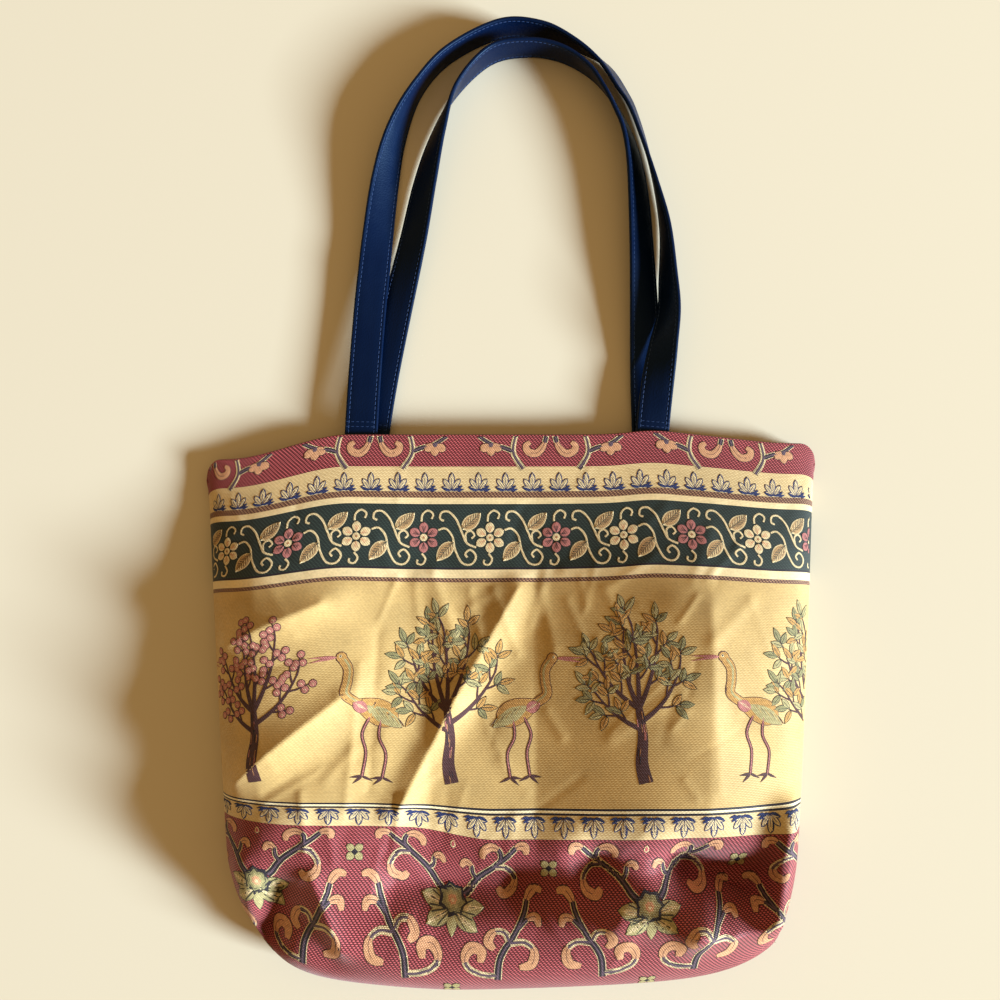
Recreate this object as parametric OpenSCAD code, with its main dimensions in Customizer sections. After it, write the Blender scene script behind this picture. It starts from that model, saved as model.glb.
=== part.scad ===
// Tapestry tote bag lying on its back, mouth towards +Y, shoulder straps laid out beyond the mouth.
// The origin is on the floor, under the middle of the bag and its straps.

/* [Body] */
// Width across the mouth
mouth_w = 407; // [340:1:460]
// Width across the base
base_w = 338; // [280:1:400]
// Length from the mouth's edge to the base seam
body_h = 344; // [280:1:400]
// Height of the two shoulders beside the sunk middle
belly_h = 54; // [46:1:64]
// Height of the front panel's edge at the mouth
mouth_h = 17; // [15:0.5:24]
// Height of the side seams where they reach the base
base_seam_h = 14; // [10:0.5:18]
// Height of the side seams at the mouth
mouth_seam_h = 6; // [5:0.5:9]

/* [Cloth] */
// Thickness of the tapestry
cloth_t = 1.2; // [0.8:0.1:1.5]
// Depth of the hem turned in at the mouth
hem_depth = 28; // [18:1:40]
// Thickness of the lining
lining_t = 0.6; // [0.4:0.1:0.8]

/* [Straps] */
// Width of each strap
strap_w = 22; // [16:0.5:26]
// Thickness of each strap
strap_t = 2.8; // [2:0.1:3.2]
// How far the straps lie out beyond the mouth
strap_reach = 302; // [240:1:360]
// Distance between the two legs of a strap
strap_spacing = 194; // [170:1:230]
// Length of each strap end sewn in below the mouth's edge
strap_tail = 24; // [14:1:28]

/* [Hidden] */

// Places along the length
y_mouth = (body_h - strap_reach) / 2;
y_base = y_mouth - body_h;

// Clearances between neighbours
lining_gap = 0.4;
strap_gap = 0.3;

// Sag of the mouth's two corners and the swell over the right strap, along Y
left_sag = 16;
right_sag = 5;
strap_swell = 2.6;
// Rounding of the mouth's corners
mouth_corner_r = 14;
// Rise of the base seam towards its two ends, and the extra rise at the boxed corners
left_rise = 11;
right_rise = 8.5;
corner_rise = 18;
// How far the sides draw in at the boxed corners
left_tuck = 19;
right_tuck = 9;

// Where along the body, from base to mouth, things happen
belly_share = 0.28;
tuck_share = 0.2;
base_round_share = 0.09;
hem_share = 1 - hem_depth / body_h;
hem_step_share = hem_share - cloth_t / body_h;
// Where across the half width, from the middle out, things happen
base_low_share = -0.22;
flat_share = 0.7;
swell_at_share = 0.46;
swell_w_share = 0.1;
corner_share = 0.95;
left_sag_shares = [0.52, 0.92];
right_sag_shares = [0.55, 0.9];
// The sunk middle: from the left shoulder down, flat, and up to the right shoulder; along, from the base
// to its full depth, and from there to the mouth
sink_across_shares = [-0.84, -0.28, 0.08, 0.65];
sink_along_shares = [0, 0.18, 0.75, 1];
sink_share = 0.66;
mouth_sink_share = 0.2;
ramp_share = 0.8;
// Powers of the curves: how sharply a form turns near its edge, and how fast it fades along the body
rise_power = 1.6;
corner_power = 8;
tuck_power = 1.7;
rise_fade_power = 1.5;
corner_fade_power = 6;
sag_fade_power = 2;
mouth_fade_power = 14;
crown_powers = [2.6, 0.6];
fall_power = 1.7;
left_powers = [4.5, 0.5];
right_powers = [2.3, 0.42];
back_powers = [3, 0.45];
base_powers = [2.4, 0.5];

// Grid of a sheet: shares across near each side seam, and along near the base seam
edge_shares = [0, 0.007, 0.025, 0.06, 0.115];
base_shares = [0, 0.006, 0.024, 0.055, 0.095];
across_steps = 11;
along_steps = 19;
nudge_share = 0.002;

// Folds of the front panel: from across, from along, to across, to along, width share of the half
// mouth, height share of the belly
fold_shares = [
    [0.02, 0.7, -0.19, 0.5, 0.05, 0.06],
    [-0.19, 0.5, -0.4, 0.3, 0.045, 0.08],
    [0.06, 0.62, -0.1, 0.46, 0.07, -0.04],
    [-0.28, 0.72, -0.2, 0.6, 0.045, 0.04],
    [-0.97, 0.61, -0.58, 0.68, 0.06, 0.05],
    [-0.94, 0.35, -0.52, 0.52, 0.055, 0.05],
    [-0.84, 0.31, -0.5, 0.44, 0.06, -0.05],
    [0.74, 0.46, 0.92, 0.32, 0.08, -0.06],
    [0.55, 0.66, 0.86, 0.58, 0.08, 0.04],
    [-0.4, 0.18, 0.02, 0.175, 0.05, -0.1],
    [0.02, 0.18, 0.28, 0.2, 0.055, -0.16],
    [0.28, 0.21, 0.6, 0.2, 0.065, -0.32],
    [0.6, 0.2, 0.86, 0.175, 0.08, -0.46],
    [-0.36, 0.12, 0.36, 0.12, 0.06, 0.08],
    [0.36, 0.125, 0.64, 0.095, 0.05, 0.12],
    [0.64, 0.095, 0.88, 0.085, 0.055, 0.18],
    [0.94, 0.27, 0.93, 0.1, 0.06, 0.25],
    [-0.78, 0.165, -0.87, 0.075, 0.06, -0.14],
    [-0.74, 0.12, -0.66, 0.05, 0.075, -0.15],
    [-0.78, 0.18, -0.6, 0.07, 0.045, 0.06],
    [-0.92, 0.2, -0.935, 0.11, 0.055, 0.08]
];
fold_fade_share = 0.06;
hem_fade_share = 0.08;

// Straps: across share of half the spacing, out share of the reach, roll in degrees,
// lift share of the seat at the mouth
front_strap_shares = [
    [-1.031, 0, 0, 1], [-1.02, 0.13, 2, 0.8], [-0.995, 0.295, 6, 0.56], [-0.974, 0.387, 12, 0.39],
    [-0.954, 0.477, 22, 0.04], [-0.907, 0.609, 38, 0], [-0.83, 0.725, 60, 0], [-0.68, 0.838, 85, 0],
    [-0.454, 0.927, 90, 0], [-0.082, 0.993, 90, 0], [0.227, 0.99, 93, 0], [0.474, 0.954, 104, 0],
    [0.686, 0.904, 120, 0], [0.82, 0.834, 121, 0], [0.895, 0.781, 114, 0], [0.975, 0.692, 108, 0],
    [1.05, 0.586, 98, 0], [1.1, 0.487, 84, 0], [1.11, 0.374, 68, 0], [1.105, 0.288, 56, 0.32],
    [1.055, 0.202, 36, 0.68], [1.01, 0.113, 12, 0.88], [0.969, 0, 0, 1]
];
back_strap_shares = [
    [-0.959, 0, 0, 1], [-0.907, 0.13, -3, 0.54], [-0.814, 0.295, -10, 0.08], [-0.701, 0.467, -26, 0],
    [-0.619, 0.609, -39, 0], [-0.531, 0.725, -58, 0], [-0.402, 0.834, -82, 0], [-0.155, 0.924, -92, 0],
    [0.124, 0.945, -90, 0], [0.371, 0.93, -86, 0], [0.577, 0.886, -79, 0], [0.706, 0.831, -70, 0],
    [0.784, 0.781, -66, 0], [0.85, 0.728, -63, 0], [0.897, 0.659, -54, 0], [0.923, 0.57, -44, 0],
    [0.938, 0.427, -34, 0], [0.945, 0.295, -22, 0], [0.948, 0.13, -6, 0.38], [0.952, 0, 0, 1]
];
strap_steps = 2;
edge_round_share = 0.35;

// A soft step from 0 to 1 as x goes from a to b
function soft_step(a, b, x) = let (t = min(max((x - a) / (b - a), 0), 1)) t * t * (3 - 2 * t);
// The same with a straighter middle and sharper ends
function soft_ramp(a, b, x) = ramp_share * min(max((x - a) / (b - a), 0), 1)
    + (1 - ramp_share) * soft_step(a, b, x);

// Plan of the body: u runs across from -1 to 1, v along from base seam to mouth
function sag(u) = left_sag * soft_step(left_sag_shares[0], left_sag_shares[1], -u)
    + right_sag * soft_step(right_sag_shares[0], right_sag_shares[1], u)
    - strap_swell * exp(-pow((u - swell_at_share) / swell_w_share, 2));
function mouth_corner(u) = let (t = max((abs(u) - corner_share) / (1 - corner_share), 0))
    mouth_corner_r * (1 - sqrt(max(1 - t * t, 0)));
function base_reach(u) = let (d = u - base_low_share)
    d > 0 ? d / (1 - base_low_share) : -d / (1 + base_low_share);
function base_lift(u, v) = let (d = base_reach(u))
    (u > base_low_share ? right_rise : left_rise) * pow(d, rise_power) * pow(1 - v, rise_fade_power)
    + corner_rise * pow(d, corner_power) * pow(1 - v, corner_fade_power);
function half_w(u, v) = (base_w + (mouth_w - base_w) * v) / 2
    - (u > 0 ? right_tuck : left_tuck) * pow(max(1 - v / tuck_share, 0), tuck_power);
function plan_x(u, v) = u * half_w(u, v);
function plan_y(u, v) = y_base + body_h * v + base_lift(u, v)
    - sag(u) * pow(v, sag_fade_power) - mouth_corner(u) * pow(v, mouth_fade_power);

// Height of the two panels' outer faces
function seam_z(v) = mouth_seam_h + (base_seam_h - mouth_seam_h) * (1 - v);
function crown_fall(v) = pow((v - belly_share) / (1 - belly_share), fall_power);
function crown_z(v) = v < belly_share
    ? base_seam_h + (belly_h - base_seam_h) * rounded(1 - v / belly_share, crown_powers)
    : mouth_h + (belly_h - mouth_h) * (1 + cos(180 * crown_fall(v))) / 2;
function rounded(t, powers) = pow(max(1 - pow(t, powers[0]), 0), powers[1]);
function fold_z(u, v) =
    let (p = [plan_x(u, v), plan_y(u, v)])
    let (fade = soft_step(0, fold_fade_share, 1 - abs(u)) * soft_step(0, fold_fade_share, v))
    fade * belly_h * sum([for (f = fold_shares) f[5] * fold_shape(p, f)]);
function fold_shape(p, f) =
    let (a = [plan_x(f[0], f[1]), plan_y(f[0], f[1])], b = [plan_x(f[2], f[3]), plan_y(f[2], f[3])])
    let (t = min(max((p - a) * (b - a) / ((b - a) * (b - a)), 0), 1))
    exp(-pow(norm(p - a - t * (b - a)) / (f[4] * mouth_w / 2), 2));
function sum(list) = list * [for (x = list) 1];
function pillow(u) = u < 0 ? rounded(-u, left_powers) : rounded(u, right_powers);
function sunk(u, v) =
    let (left = soft_ramp(sink_across_shares[0], sink_across_shares[1], u))
    let (right = 1 - soft_ramp(sink_across_shares[2], sink_across_shares[3], u))
    let (base = soft_step(sink_along_shares[0], sink_along_shares[1], v))
    let (mouth = 1 - (1 - mouth_sink_share) * soft_step(sink_along_shares[2], sink_along_shares[3], v))
    sink_share * left * right * base * mouth;
function front_point(u, v) = [
    plan_x(u, v),
    plan_y(u, v),
    seam_z(v) + (crown_z(v) - seam_z(v)) * pillow(u) * (1 - sunk(u, v)) + fold_z(u, v)
];
function flat_across(u) = rounded(max((abs(u) - flat_share) / (1 - flat_share), 0), back_powers);
function flat_along(v) = rounded(max(1 - v / base_round_share, 0), base_powers);
function back_point(u, v) = [
    plan_x(u, v),
    plan_y(u, v),
    seam_z(v) * (1 - flat_across(u) * flat_along(v))
];
function skin(front, u, v) = front ? front_point(u, v) : back_point(u, v);

// Direction out of a panel: level along the seams, so that front and back share the seam's face
function unit(d) = d / norm(d);
function level_out(u, v) =
    let (side = abs(u) == 1 ? [sign(u), 0, 0] : [0, 0, 0], base = v == 0 ? [0, -1, 0] : [0, 0, 0])
    unit(side + base);
function face_out(front, u, v) =
    let (across = skin(front, min(u + nudge_share, 1), v) - skin(front, max(u - nudge_share, -1), v))
    let (along = skin(front, u, min(v + nudge_share, 1)) - skin(front, u, max(v - nudge_share, 0)))
    unit(cross(across, along)) * (front ? 1 : -1);
function out_dir(front, u, v) = abs(u) == 1 || v == 0 ? level_out(u, v) : face_out(front, u, v);

// Grid lines of a sheet
function with_steps(shares, end, steps) = let (start = shares[len(shares) - 1])
    concat(shares, [for (i = [1 : steps]) start + (end - start) * i / steps]);
half_shares = with_steps(edge_shares, 1, across_steps);
u_shares = concat(
    [for (e = half_shares) e - 1],
    [for (i = [len(half_shares) - 2 : -1 : 0]) 1 - half_shares[i]]
);
v_body_shares = with_steps(base_shares, hem_step_share, along_steps);
v_panel_shares = concat(v_body_shares, [hem_share, (hem_share + 1) / 2, 1]);
// First and last grid line of the back's flat middle, across and along
flat_cols = [for (i = [0 : len(u_shares) - 1]) if (abs(u_shares[i]) < flat_share) i];
flat_across_ends = [flat_cols[0], flat_cols[len(flat_cols) - 1]];
flat_along_ends = [len(base_shares) - 1, len(v_body_shares) - 1];

// The grid points round a block of a sheet, from its first corner
function block_rim(cols, across, along) = concat(
    [for (i = [across[0] : across[1]]) along[0] * cols + i],
    [for (j = [along[0] + 1 : along[1]]) j * cols + across[1]],
    [for (i = [across[1] - 1 : -1 : across[0]]) along[1] * cols + i],
    [for (j = [along[1] - 1 : -1 : along[0] + 1]) j * cols + across[0]]
);

// The turned-in layer of the hem, which thins out as it comes to the side seams
function hem_extra(u, v) = v > hem_step_share ? cloth_t * min((1 - abs(u)) / hem_fade_share, 1) : 0;

// A sheet of cloth between two depths below the outer face, as one closed solid. The back's flat middle
// is a fan round one centre point
module sheet(front, rows, outer, inner) {
    cols = len(u_shares);
    last_row = len(rows) - 1;
    centre = cols * len(rows);
    count = centre + 1;
    centre_v = (rows[flat_along_ends[0]] + rows[flat_along_ends[1]]) / 2;
    places = concat([for (v = rows) for (u = u_shares) [u, v]], [[0, centre_v]]);
    skins = [for (p = places) skin(front, p[0], p[1])];
    outs = [for (p = places) out_dir(front, p[0], p[1])];
    depths = [for (p = places) inner + hem_extra(p[0], p[1])];
    points = concat(
        [for (k = [0 : count - 1]) skins[k] - outs[k] * outer],
        [for (k = [0 : count - 1]) skins[k] - outs[k] * depths[k]]
    );
    cells = [
        for (j = [0 : last_row - 1])
            for (i = [0 : cols - 2])
                if (front || !in_flat(i, j)) j * cols + i
    ];
    grid = [for (c = cells) each [[c, c + cols, c + 1], [c + 1, c + cols, c + cols + 1]]];
    flat_rim = block_rim(cols, flat_across_ends, flat_along_ends);
    fan = [for (k = [0 : len(flat_rim) - 1]) [flat_rim[(k + 1) % len(flat_rim)], flat_rim[k], centre]];
    top = front ? grid : concat(grid, fan);
    bottom = [for (t = top) [t[0] + count, t[2] + count, t[1] + count]];
    rim = block_rim(cols, [0, cols - 1], [0, last_row]);
    edge = [
        for (k = [0 : len(rim) - 1])
            let (a = rim[k], b = rim[(k + 1) % len(rim)])
            each [[a, b, b + count], [a, b + count, a + count]]
    ];
    faces = concat(top, bottom, edge);
    polyhedron(points, front ? faces : [for (f = faces) [f[0], f[2], f[1]]]);
}
function in_flat(i, j) = i >= flat_across_ends[0] && i < flat_across_ends[1]
    && j >= flat_along_ends[0] && j < flat_along_ends[1];

// Straps: a smooth path through the stations, then a ring of the strap's section at each step
function blend(a, b, c, d, t) = (2 * b + (c - a) * t + (2 * a - 5 * b + 4 * c - d) * t * t
    + (3 * b - a - 3 * c + d) * t * t * t) / 2;
function smooth_path(p) = let (last = len(p) - 1) concat(
    [
        for (i = [0 : last - 1])
            for (k = [0 : strap_steps - 1])
                blend(p[max(i - 1, 0)], p[i], p[i + 1], p[min(i + 2, last)], k / strap_steps)
    ],
    [p[last]]
);
function stations(shares, seat) =
    let (laid = [for (s = shares) [
        s[0] * strap_spacing / 2,
        y_mouth + s[1] * strap_reach,
        s[2],
        strap_gap + s[3] * (seat - strap_gap)
    ]])
    let (tail = [0, -strap_tail, 0, 0], last = laid[len(laid) - 1])
    concat([laid[0] + tail], laid, [last + tail]);
function ring(path, i) =
    let (d = path[min(i + 1, len(path) - 1)] - path[max(i - 1, 0)])
    let (out = unit([-d[1], d[0], 0]), roll = path[i][2])
    let (wide = out * cos(roll) + [0, 0, sin(roll)], thick = [0, 0, cos(roll)] - out * sin(roll))
    let (z = strap_w / 2 * abs(sin(roll)) + strap_t / 2 * abs(cos(roll)) + path[i][3])
    [for (s = section) [path[i][0], path[i][1], z] + wide * s[0] + thick * s[1]];
edge_r = strap_t * edge_round_share;
section = let (w = strap_w / 2, t = strap_t / 2, r = edge_r) [
    [w, t - r], [w - r, t], [r - w, t], [-w, t - r],
    [-w, r - t], [r - w, -t], [w - r, -t], [w, r - t]
];
sides = len(section);

module strap(shares, seat) {
    path = smooth_path(stations(shares, seat));
    points = [for (i = [0 : len(path) - 1]) each ring(path, i)];
    walls = [
        for (i = [0 : len(path) - 2])
            for (k = [0 : sides - 1])
                let (a = i * sides + k, b = i * sides + (k + 1) % sides)
                each [[a, b, b + sides], [a, b + sides, a + sides]]
    ];
    first = [for (k = [sides - 1 : -1 : 0]) k];
    last = [for (k = [0 : sides - 1]) len(points) - sides + k];
    polyhedron(points, concat(walls, [first, last]));
}

// Seats of the straps inside the mouth: under the front hem and on the back hem
hem_t = 2 * cloth_t;
seat_across = (strap_spacing + strap_w) / mouth_w;
front_seat = front_point(seat_across, 1)[2] - hem_t - strap_gap - strap_t;
back_seat = hem_t + strap_gap;
lining_depth = cloth_t + lining_gap;

module front_panel() {
    color("#c8a766") sheet(true, v_panel_shares, 0, cloth_t);
}

module back_panel() {
    color("#b99555") sheet(false, v_panel_shares, 0, cloth_t);
}

module front_lining() {
    color("#8a7348") sheet(true, v_body_shares, lining_depth, lining_depth + lining_t);
}

module back_lining() {
    color("#7d6841") sheet(false, v_body_shares, lining_depth, lining_depth + lining_t);
}

module front_strap() {
    color("#1c2f4a") strap(front_strap_shares, front_seat);
}

module back_strap() {
    color("#16263d") strap(back_strap_shares, back_seat);
}

front_panel();
back_panel();
front_lining();
back_lining();
front_strap();
back_strap();
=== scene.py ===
import bpy
import numpy as np
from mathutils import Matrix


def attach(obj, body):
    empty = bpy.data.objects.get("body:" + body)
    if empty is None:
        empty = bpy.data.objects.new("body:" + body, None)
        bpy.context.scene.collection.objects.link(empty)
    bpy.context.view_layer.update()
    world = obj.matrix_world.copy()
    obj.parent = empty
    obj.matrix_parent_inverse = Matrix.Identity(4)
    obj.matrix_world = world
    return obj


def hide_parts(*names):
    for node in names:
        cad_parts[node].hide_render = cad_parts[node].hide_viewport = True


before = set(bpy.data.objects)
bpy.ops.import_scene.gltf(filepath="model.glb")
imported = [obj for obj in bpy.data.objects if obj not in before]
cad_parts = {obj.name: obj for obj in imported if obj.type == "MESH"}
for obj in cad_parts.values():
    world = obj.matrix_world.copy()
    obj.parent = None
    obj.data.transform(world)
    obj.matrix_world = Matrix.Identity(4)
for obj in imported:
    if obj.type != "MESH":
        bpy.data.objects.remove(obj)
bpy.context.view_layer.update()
mm = 0.001  # in metres
tiny = 1e-9  # keeps a comparison or a division safe

# Cloth body, in millimetres; shares run from the base seam to the mouth, or from the middle to a side
body = {
    "mouthW": 407.0, "baseW": 338.0, "length": 344.0, "mouthY": 21.0,
    "bellyH": 54.0, "mouthH": 17.0, "baseSeamH": 14.0, "mouthSeamH": 6.0,
    "clothT": 1.2, "hemDepth": 28.0, "liningT": 0.6, "liningGap": 0.4,
    "leftSag": 16.0, "rightSag": 5.0, "sagPower": 2, "strapSwell": 2.6, "swellAt": 0.46, "swellW": 0.1,
    "leftSagShares": (0.52, 0.92), "rightSagShares": (0.55, 0.9),
    "mouthCornerR": 14.0, "cornerShare": 0.95, "mouthCornerPower": 14,
    "leftRise": 11.0, "rightRise": 8.5, "risePowers": (1.6, 1.5), "baseLowShare": -0.22,
    "cornerRise": 18.0, "cornerPowers": (8, 6),
    "leftTuck": 19.0, "rightTuck": 9.0, "tuckShare": 0.2, "tuckPower": 1.7,
    "bellyShare": 0.28, "fallPower": 1.7, "baseRoundShare": 0.09, "flatShare": 0.7,
    "crownPowers": (2.6, 0.6), "leftPowers": (4.5, 0.5), "rightPowers": (2.3, 0.42),
    "backPowers": (3.0, 0.45), "basePowers": (2.4, 0.5),
    "sinkShare": 0.66, "sinkAcross": (-0.84, -0.28, 0.08, 0.65), "sinkAlong": (0.0, 0.18, 0.75, 1.0),
    "mouthSink": 0.2, "straightShare": 0.8, "measureAcross": -0.1, "wrapAlong": 0.4, "wrapFrom": 0.8,
    "driftMost": 11.0, "driftAcross": (0.05, 0.42), "driftAlong": (0.0, 0.2, 0.24, 0.37),
    "foldFadeShare": 0.06, "hemFadeShare": 0.08, "edgeFull": 0.96, "creaseTip": 0.35,
    "seamDent": 0.8, "seamWidth": 1.5, "seamPucker": 5.5, "puckerShare": 0.35,
}

# Soft folds of the front: from across, along, to across, along, shares of the half mouth and the height
softFolds = np.array([
    (0.02, 0.7, -0.19, 0.5, 0.05, 0.06), (-0.19, 0.5, -0.4, 0.3, 0.045, 0.08),
    (0.06, 0.62, -0.1, 0.46, 0.07, -0.04), (-0.28, 0.72, -0.2, 0.6, 0.045, 0.04),
    (-0.97, 0.61, -0.58, 0.68, 0.06, 0.05), (-0.94, 0.35, -0.52, 0.52, 0.055, 0.05),
    (-0.84, 0.31, -0.5, 0.44, 0.06, -0.05), (0.74, 0.46, 0.92, 0.32, 0.08, -0.06),
    (0.55, 0.66, 0.86, 0.58, 0.08, 0.04), (-0.4, 0.18, 0.02, 0.175, 0.05, -0.1),
    (0.02, 0.18, 0.28, 0.2, 0.055, -0.16), (0.28, 0.21, 0.6, 0.2, 0.065, -0.32),
    (0.6, 0.2, 0.86, 0.175, 0.08, -0.46), (-0.36, 0.12, 0.36, 0.12, 0.06, 0.08),
    (0.36, 0.125, 0.64, 0.095, 0.05, 0.12), (0.64, 0.095, 0.88, 0.085, 0.055, 0.18),
    (0.94, 0.27, 0.93, 0.1, 0.06, 0.25), (-0.78, 0.165, -0.87, 0.075, 0.06, -0.14),
    (-0.74, 0.12, -0.66, 0.05, 0.075, -0.15), (-0.78, 0.18, -0.6, 0.07, 0.045, 0.06),
    (-0.92, 0.2, -0.935, 0.11, 0.055, 0.08),
])

# Sharper creases over them: from across, along, to across, along, width and height in millimetres
creases = np.array([
    (0.02, 0.70, -0.19, 0.50, 2.6, 2.0), (-0.19, 0.50, -0.38, 0.31, 2.5, 2.4),
    (-0.38, 0.31, -0.42, 0.22, 2.4, 1.4), (-0.26, 0.73, -0.19, 0.62, 2.5, 1.3),
    (-0.32, 0.71, -0.30, 0.60, 2.4, 1.0), (-0.96, 0.60, -0.62, 0.67, 5.0, 3.0),
    (-0.92, 0.35, -0.56, 0.50, 4.4, 3.2), (-0.40, 0.185, 0.02, 0.17, 2.4, -0.9),
    (0.02, 0.15, 0.36, 0.135, 2.6, 1.0), (0.36, 0.135, 0.62, 0.10, 3.0, 2.4),
    (0.62, 0.10, 0.76, 0.085, 3.2, 3.0), (0.76, 0.085, 0.92, 0.085, 3.2, 2.6),
    (0.30, 0.70, 0.44, 0.55, 3.4, 0.9), (-0.80, 0.165, -0.90, 0.08, 7.5, -13.0),
    (-0.62, 0.29, -0.60, 0.22, 2.6, 1.3), (-0.80, 0.18, -0.72, 0.19, 3.6, 2.0),
    (0.64, 0.66, 0.68, 0.34, 9.0, 1.5), (0.92, 0.25, 0.92, 0.10, 4.0, 2.2),
    (0.71, 0.185, 0.83, 0.145, 10.0, -11.0), (0.26, 0.21, 0.54, 0.20, 12.0, 8.0),
    (0.02, 0.18, 0.24, 0.20, 11.0, 4.0),
    (-0.70, 0.335, -0.69, 0.235, 2.4, 1.6), (-0.39, 0.335, -0.42, 0.235, 2.4, -1.7),
    (-0.06, 0.70, 0.02, 0.58, 2.4, 1.3), (-0.14, 0.70, -0.10, 0.60, 2.2, 1.1),
    (-0.86, 0.68, -0.70, 0.62, 2.6, 1.0), (-0.67, 0.19, -0.62, 0.07, 7.0, 6.5),
    (0.10, 0.70, 0.14, 0.58, 2.6, 0.9), (-0.50, 0.56, -0.56, 0.30, 2.8, 1.2),
    (-0.44, 0.62, -0.48, 0.34, 2.6, -1.1), (-0.90, 0.54, -0.72, 0.57, 6.0, -1.8),
])

# Random puckers of the cloth, soft ones then pointed ones: sizes in millimetres, pairs from least to most
puckers = {
    "seed": 7, "soft": 90, "softHeight": 0.55, "softWidth": 4.5,
    "pointed": 80, "pointedHeight": 0.85, "pointedWidth": 2.4,
    "across": (-0.95, 0.95), "along": (0.08, 0.92), "halfTurns": (0.15, 0.85),
    "lengths": (12.6, 42.0), "sizes": (-0.8, 1.2), "slimness": (0.5, 1.0),
}


# Smooth rise from 0 to 1 as x goes from a to b
def smoothStep(a, b, x):
    t = np.clip((x - a) / (b - a), 0, 1)
    return t * t * (3 - 2 * t)


# One minus a power of t, to another power: a rounded shoulder that ends at t = 1
def rounded(t, powers):
    return np.maximum(1 - np.clip(t, 0, None) ** powers[0], 0) ** powers[1]


# A bell over a distance
def bell(d, width):
    return np.exp(-((d / width) ** 2))


# A pointed ridge over a distance, eased at its tip
def pointed(d, width):
    return np.exp(-np.sqrt(d * d + body["creaseTip"]) / width)


# The value at a share of the way between two ends
def spanned(share, ends):
    return ends[0] + (ends[1] - ends[0]) * share


# Half width at a share along: straight taper less the tuck of the boxed corner
def halfWidth(u, v):
    tuck = np.where(u > 0, body["rightTuck"], body["leftTuck"])
    taper = (body["baseW"] + (body["mouthW"] - body["baseW"]) * v) / 2
    return taper - tuck * np.maximum(1 - v / body["tuckShare"], 0) ** body["tuckPower"]


# Plan of the body: base lifted towards its ends, mouth sagging at its corners
def plan(u, v):
    low = body["baseLowShare"]
    d = np.where(u > low, (u - low) / (1 - low), (low - u) / (1 + low))
    rise = np.where(u > low, body["rightRise"], body["leftRise"])
    across, along = body["risePowers"]
    lift = rise * d ** across * (1 - v) ** along
    across, along = body["cornerPowers"]
    lift = lift + body["cornerRise"] * d ** across * (1 - v) ** along
    sag = body["leftSag"] * smoothStep(*body["leftSagShares"], -u)
    sag = sag + body["rightSag"] * smoothStep(*body["rightSagShares"], u)
    sag = sag - body["strapSwell"] * bell(u - body["swellAt"], body["swellW"])
    t = np.clip((np.abs(u) - body["cornerShare"]) / (1 - body["cornerShare"]), 0, 1)
    corner = body["mouthCornerR"] * (1 - np.sqrt(1 - t * t))
    y = body["mouthY"] - body["length"] * (1 - v) + lift
    y = y - sag * v ** body["sagPower"] - corner * v ** body["mouthCornerPower"]
    return u * halfWidth(u, v), y


# Height of the side seam
def seamHeight(v):
    return body["mouthSeamH"] + (body["baseSeamH"] - body["mouthSeamH"]) * (1 - v)


# Distance from points to the segment from a to b
def segmentDistance(x, y, a, b):
    d = b - a
    t = np.clip(((x - a[0]) * d[0] + (y - a[1]) * d[1]) / (d @ d), 0, 1)
    return np.hypot(x - a[0] - t * d[0], y - a[1] - t * d[1])


# Folds, creases and puckers summed: bells and pointed ridges of the distance to each fold line
def foldHeight(u, v):
    x, y = plan(u, v)
    total = np.zeros_like(x)
    for f in softFolds:
        a, b = np.stack(plan(f[[0, 2]], f[[1, 3]]), 1)
        width = f[4] * body["mouthW"] / 2
        total += body["bellyH"] * f[5] * bell(segmentDistance(x, y, a, b), width)
    for f in creases:
        a, b = np.stack(plan(f[[0, 2]], f[[1, 3]]), 1)
        total += f[5] * pointed(segmentDistance(x, y, a, b), f[4])
    p = puckers
    random = np.random.default_rng(p["seed"])
    for k, r in enumerate(random.random((p["soft"] + p["pointed"], 6))):
        at = np.array(plan(np.array(spanned(r[0], p["across"])), np.array(spanned(r[1], p["along"]))))
        turn = np.pi * spanned(r[2], p["halfTurns"])
        reach = spanned(r[3], p["lengths"]) / 2 * np.array([np.cos(turn), np.sin(turn)])
        d = segmentDistance(x, y, at - reach, at + reach)
        size, slim = spanned(r[4], p["sizes"]), spanned(r[5], p["slimness"])
        if k < p["soft"]:
            total += p["softHeight"] * size * bell(d, p["softWidth"] * slim)
        else:
            total += p["pointedHeight"] * size * pointed(d, p["pointedWidth"] * slim)
    fade = body["foldFadeShare"]
    return total * smoothStep(0, fade, 1 - np.abs(u)) * smoothStep(0, fade, v)


# A ramp from 0 to 1 with softened ends: part straight, part smooth step
def softRamp(a, b, x):
    straight = body["straightShare"]
    return straight * np.clip((x - a) / (b - a), 0, 1) + (1 - straight) * smoothStep(a, b, x)


# Share of the height by which the middle sinks in: a flat trough between two shoulders, fading at both ends
def sink(u, v):
    a, b, c, d = body["sinkAcross"]
    low, full, fade, end = body["sinkAlong"]
    across = softRamp(a, b, u) * (1 - softRamp(c, d, u))
    ending = 1 - (1 - body["mouthSink"]) * smoothStep(fade, end, v)
    return body["sinkShare"] * across * smoothStep(low, full, v) * ending


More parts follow.
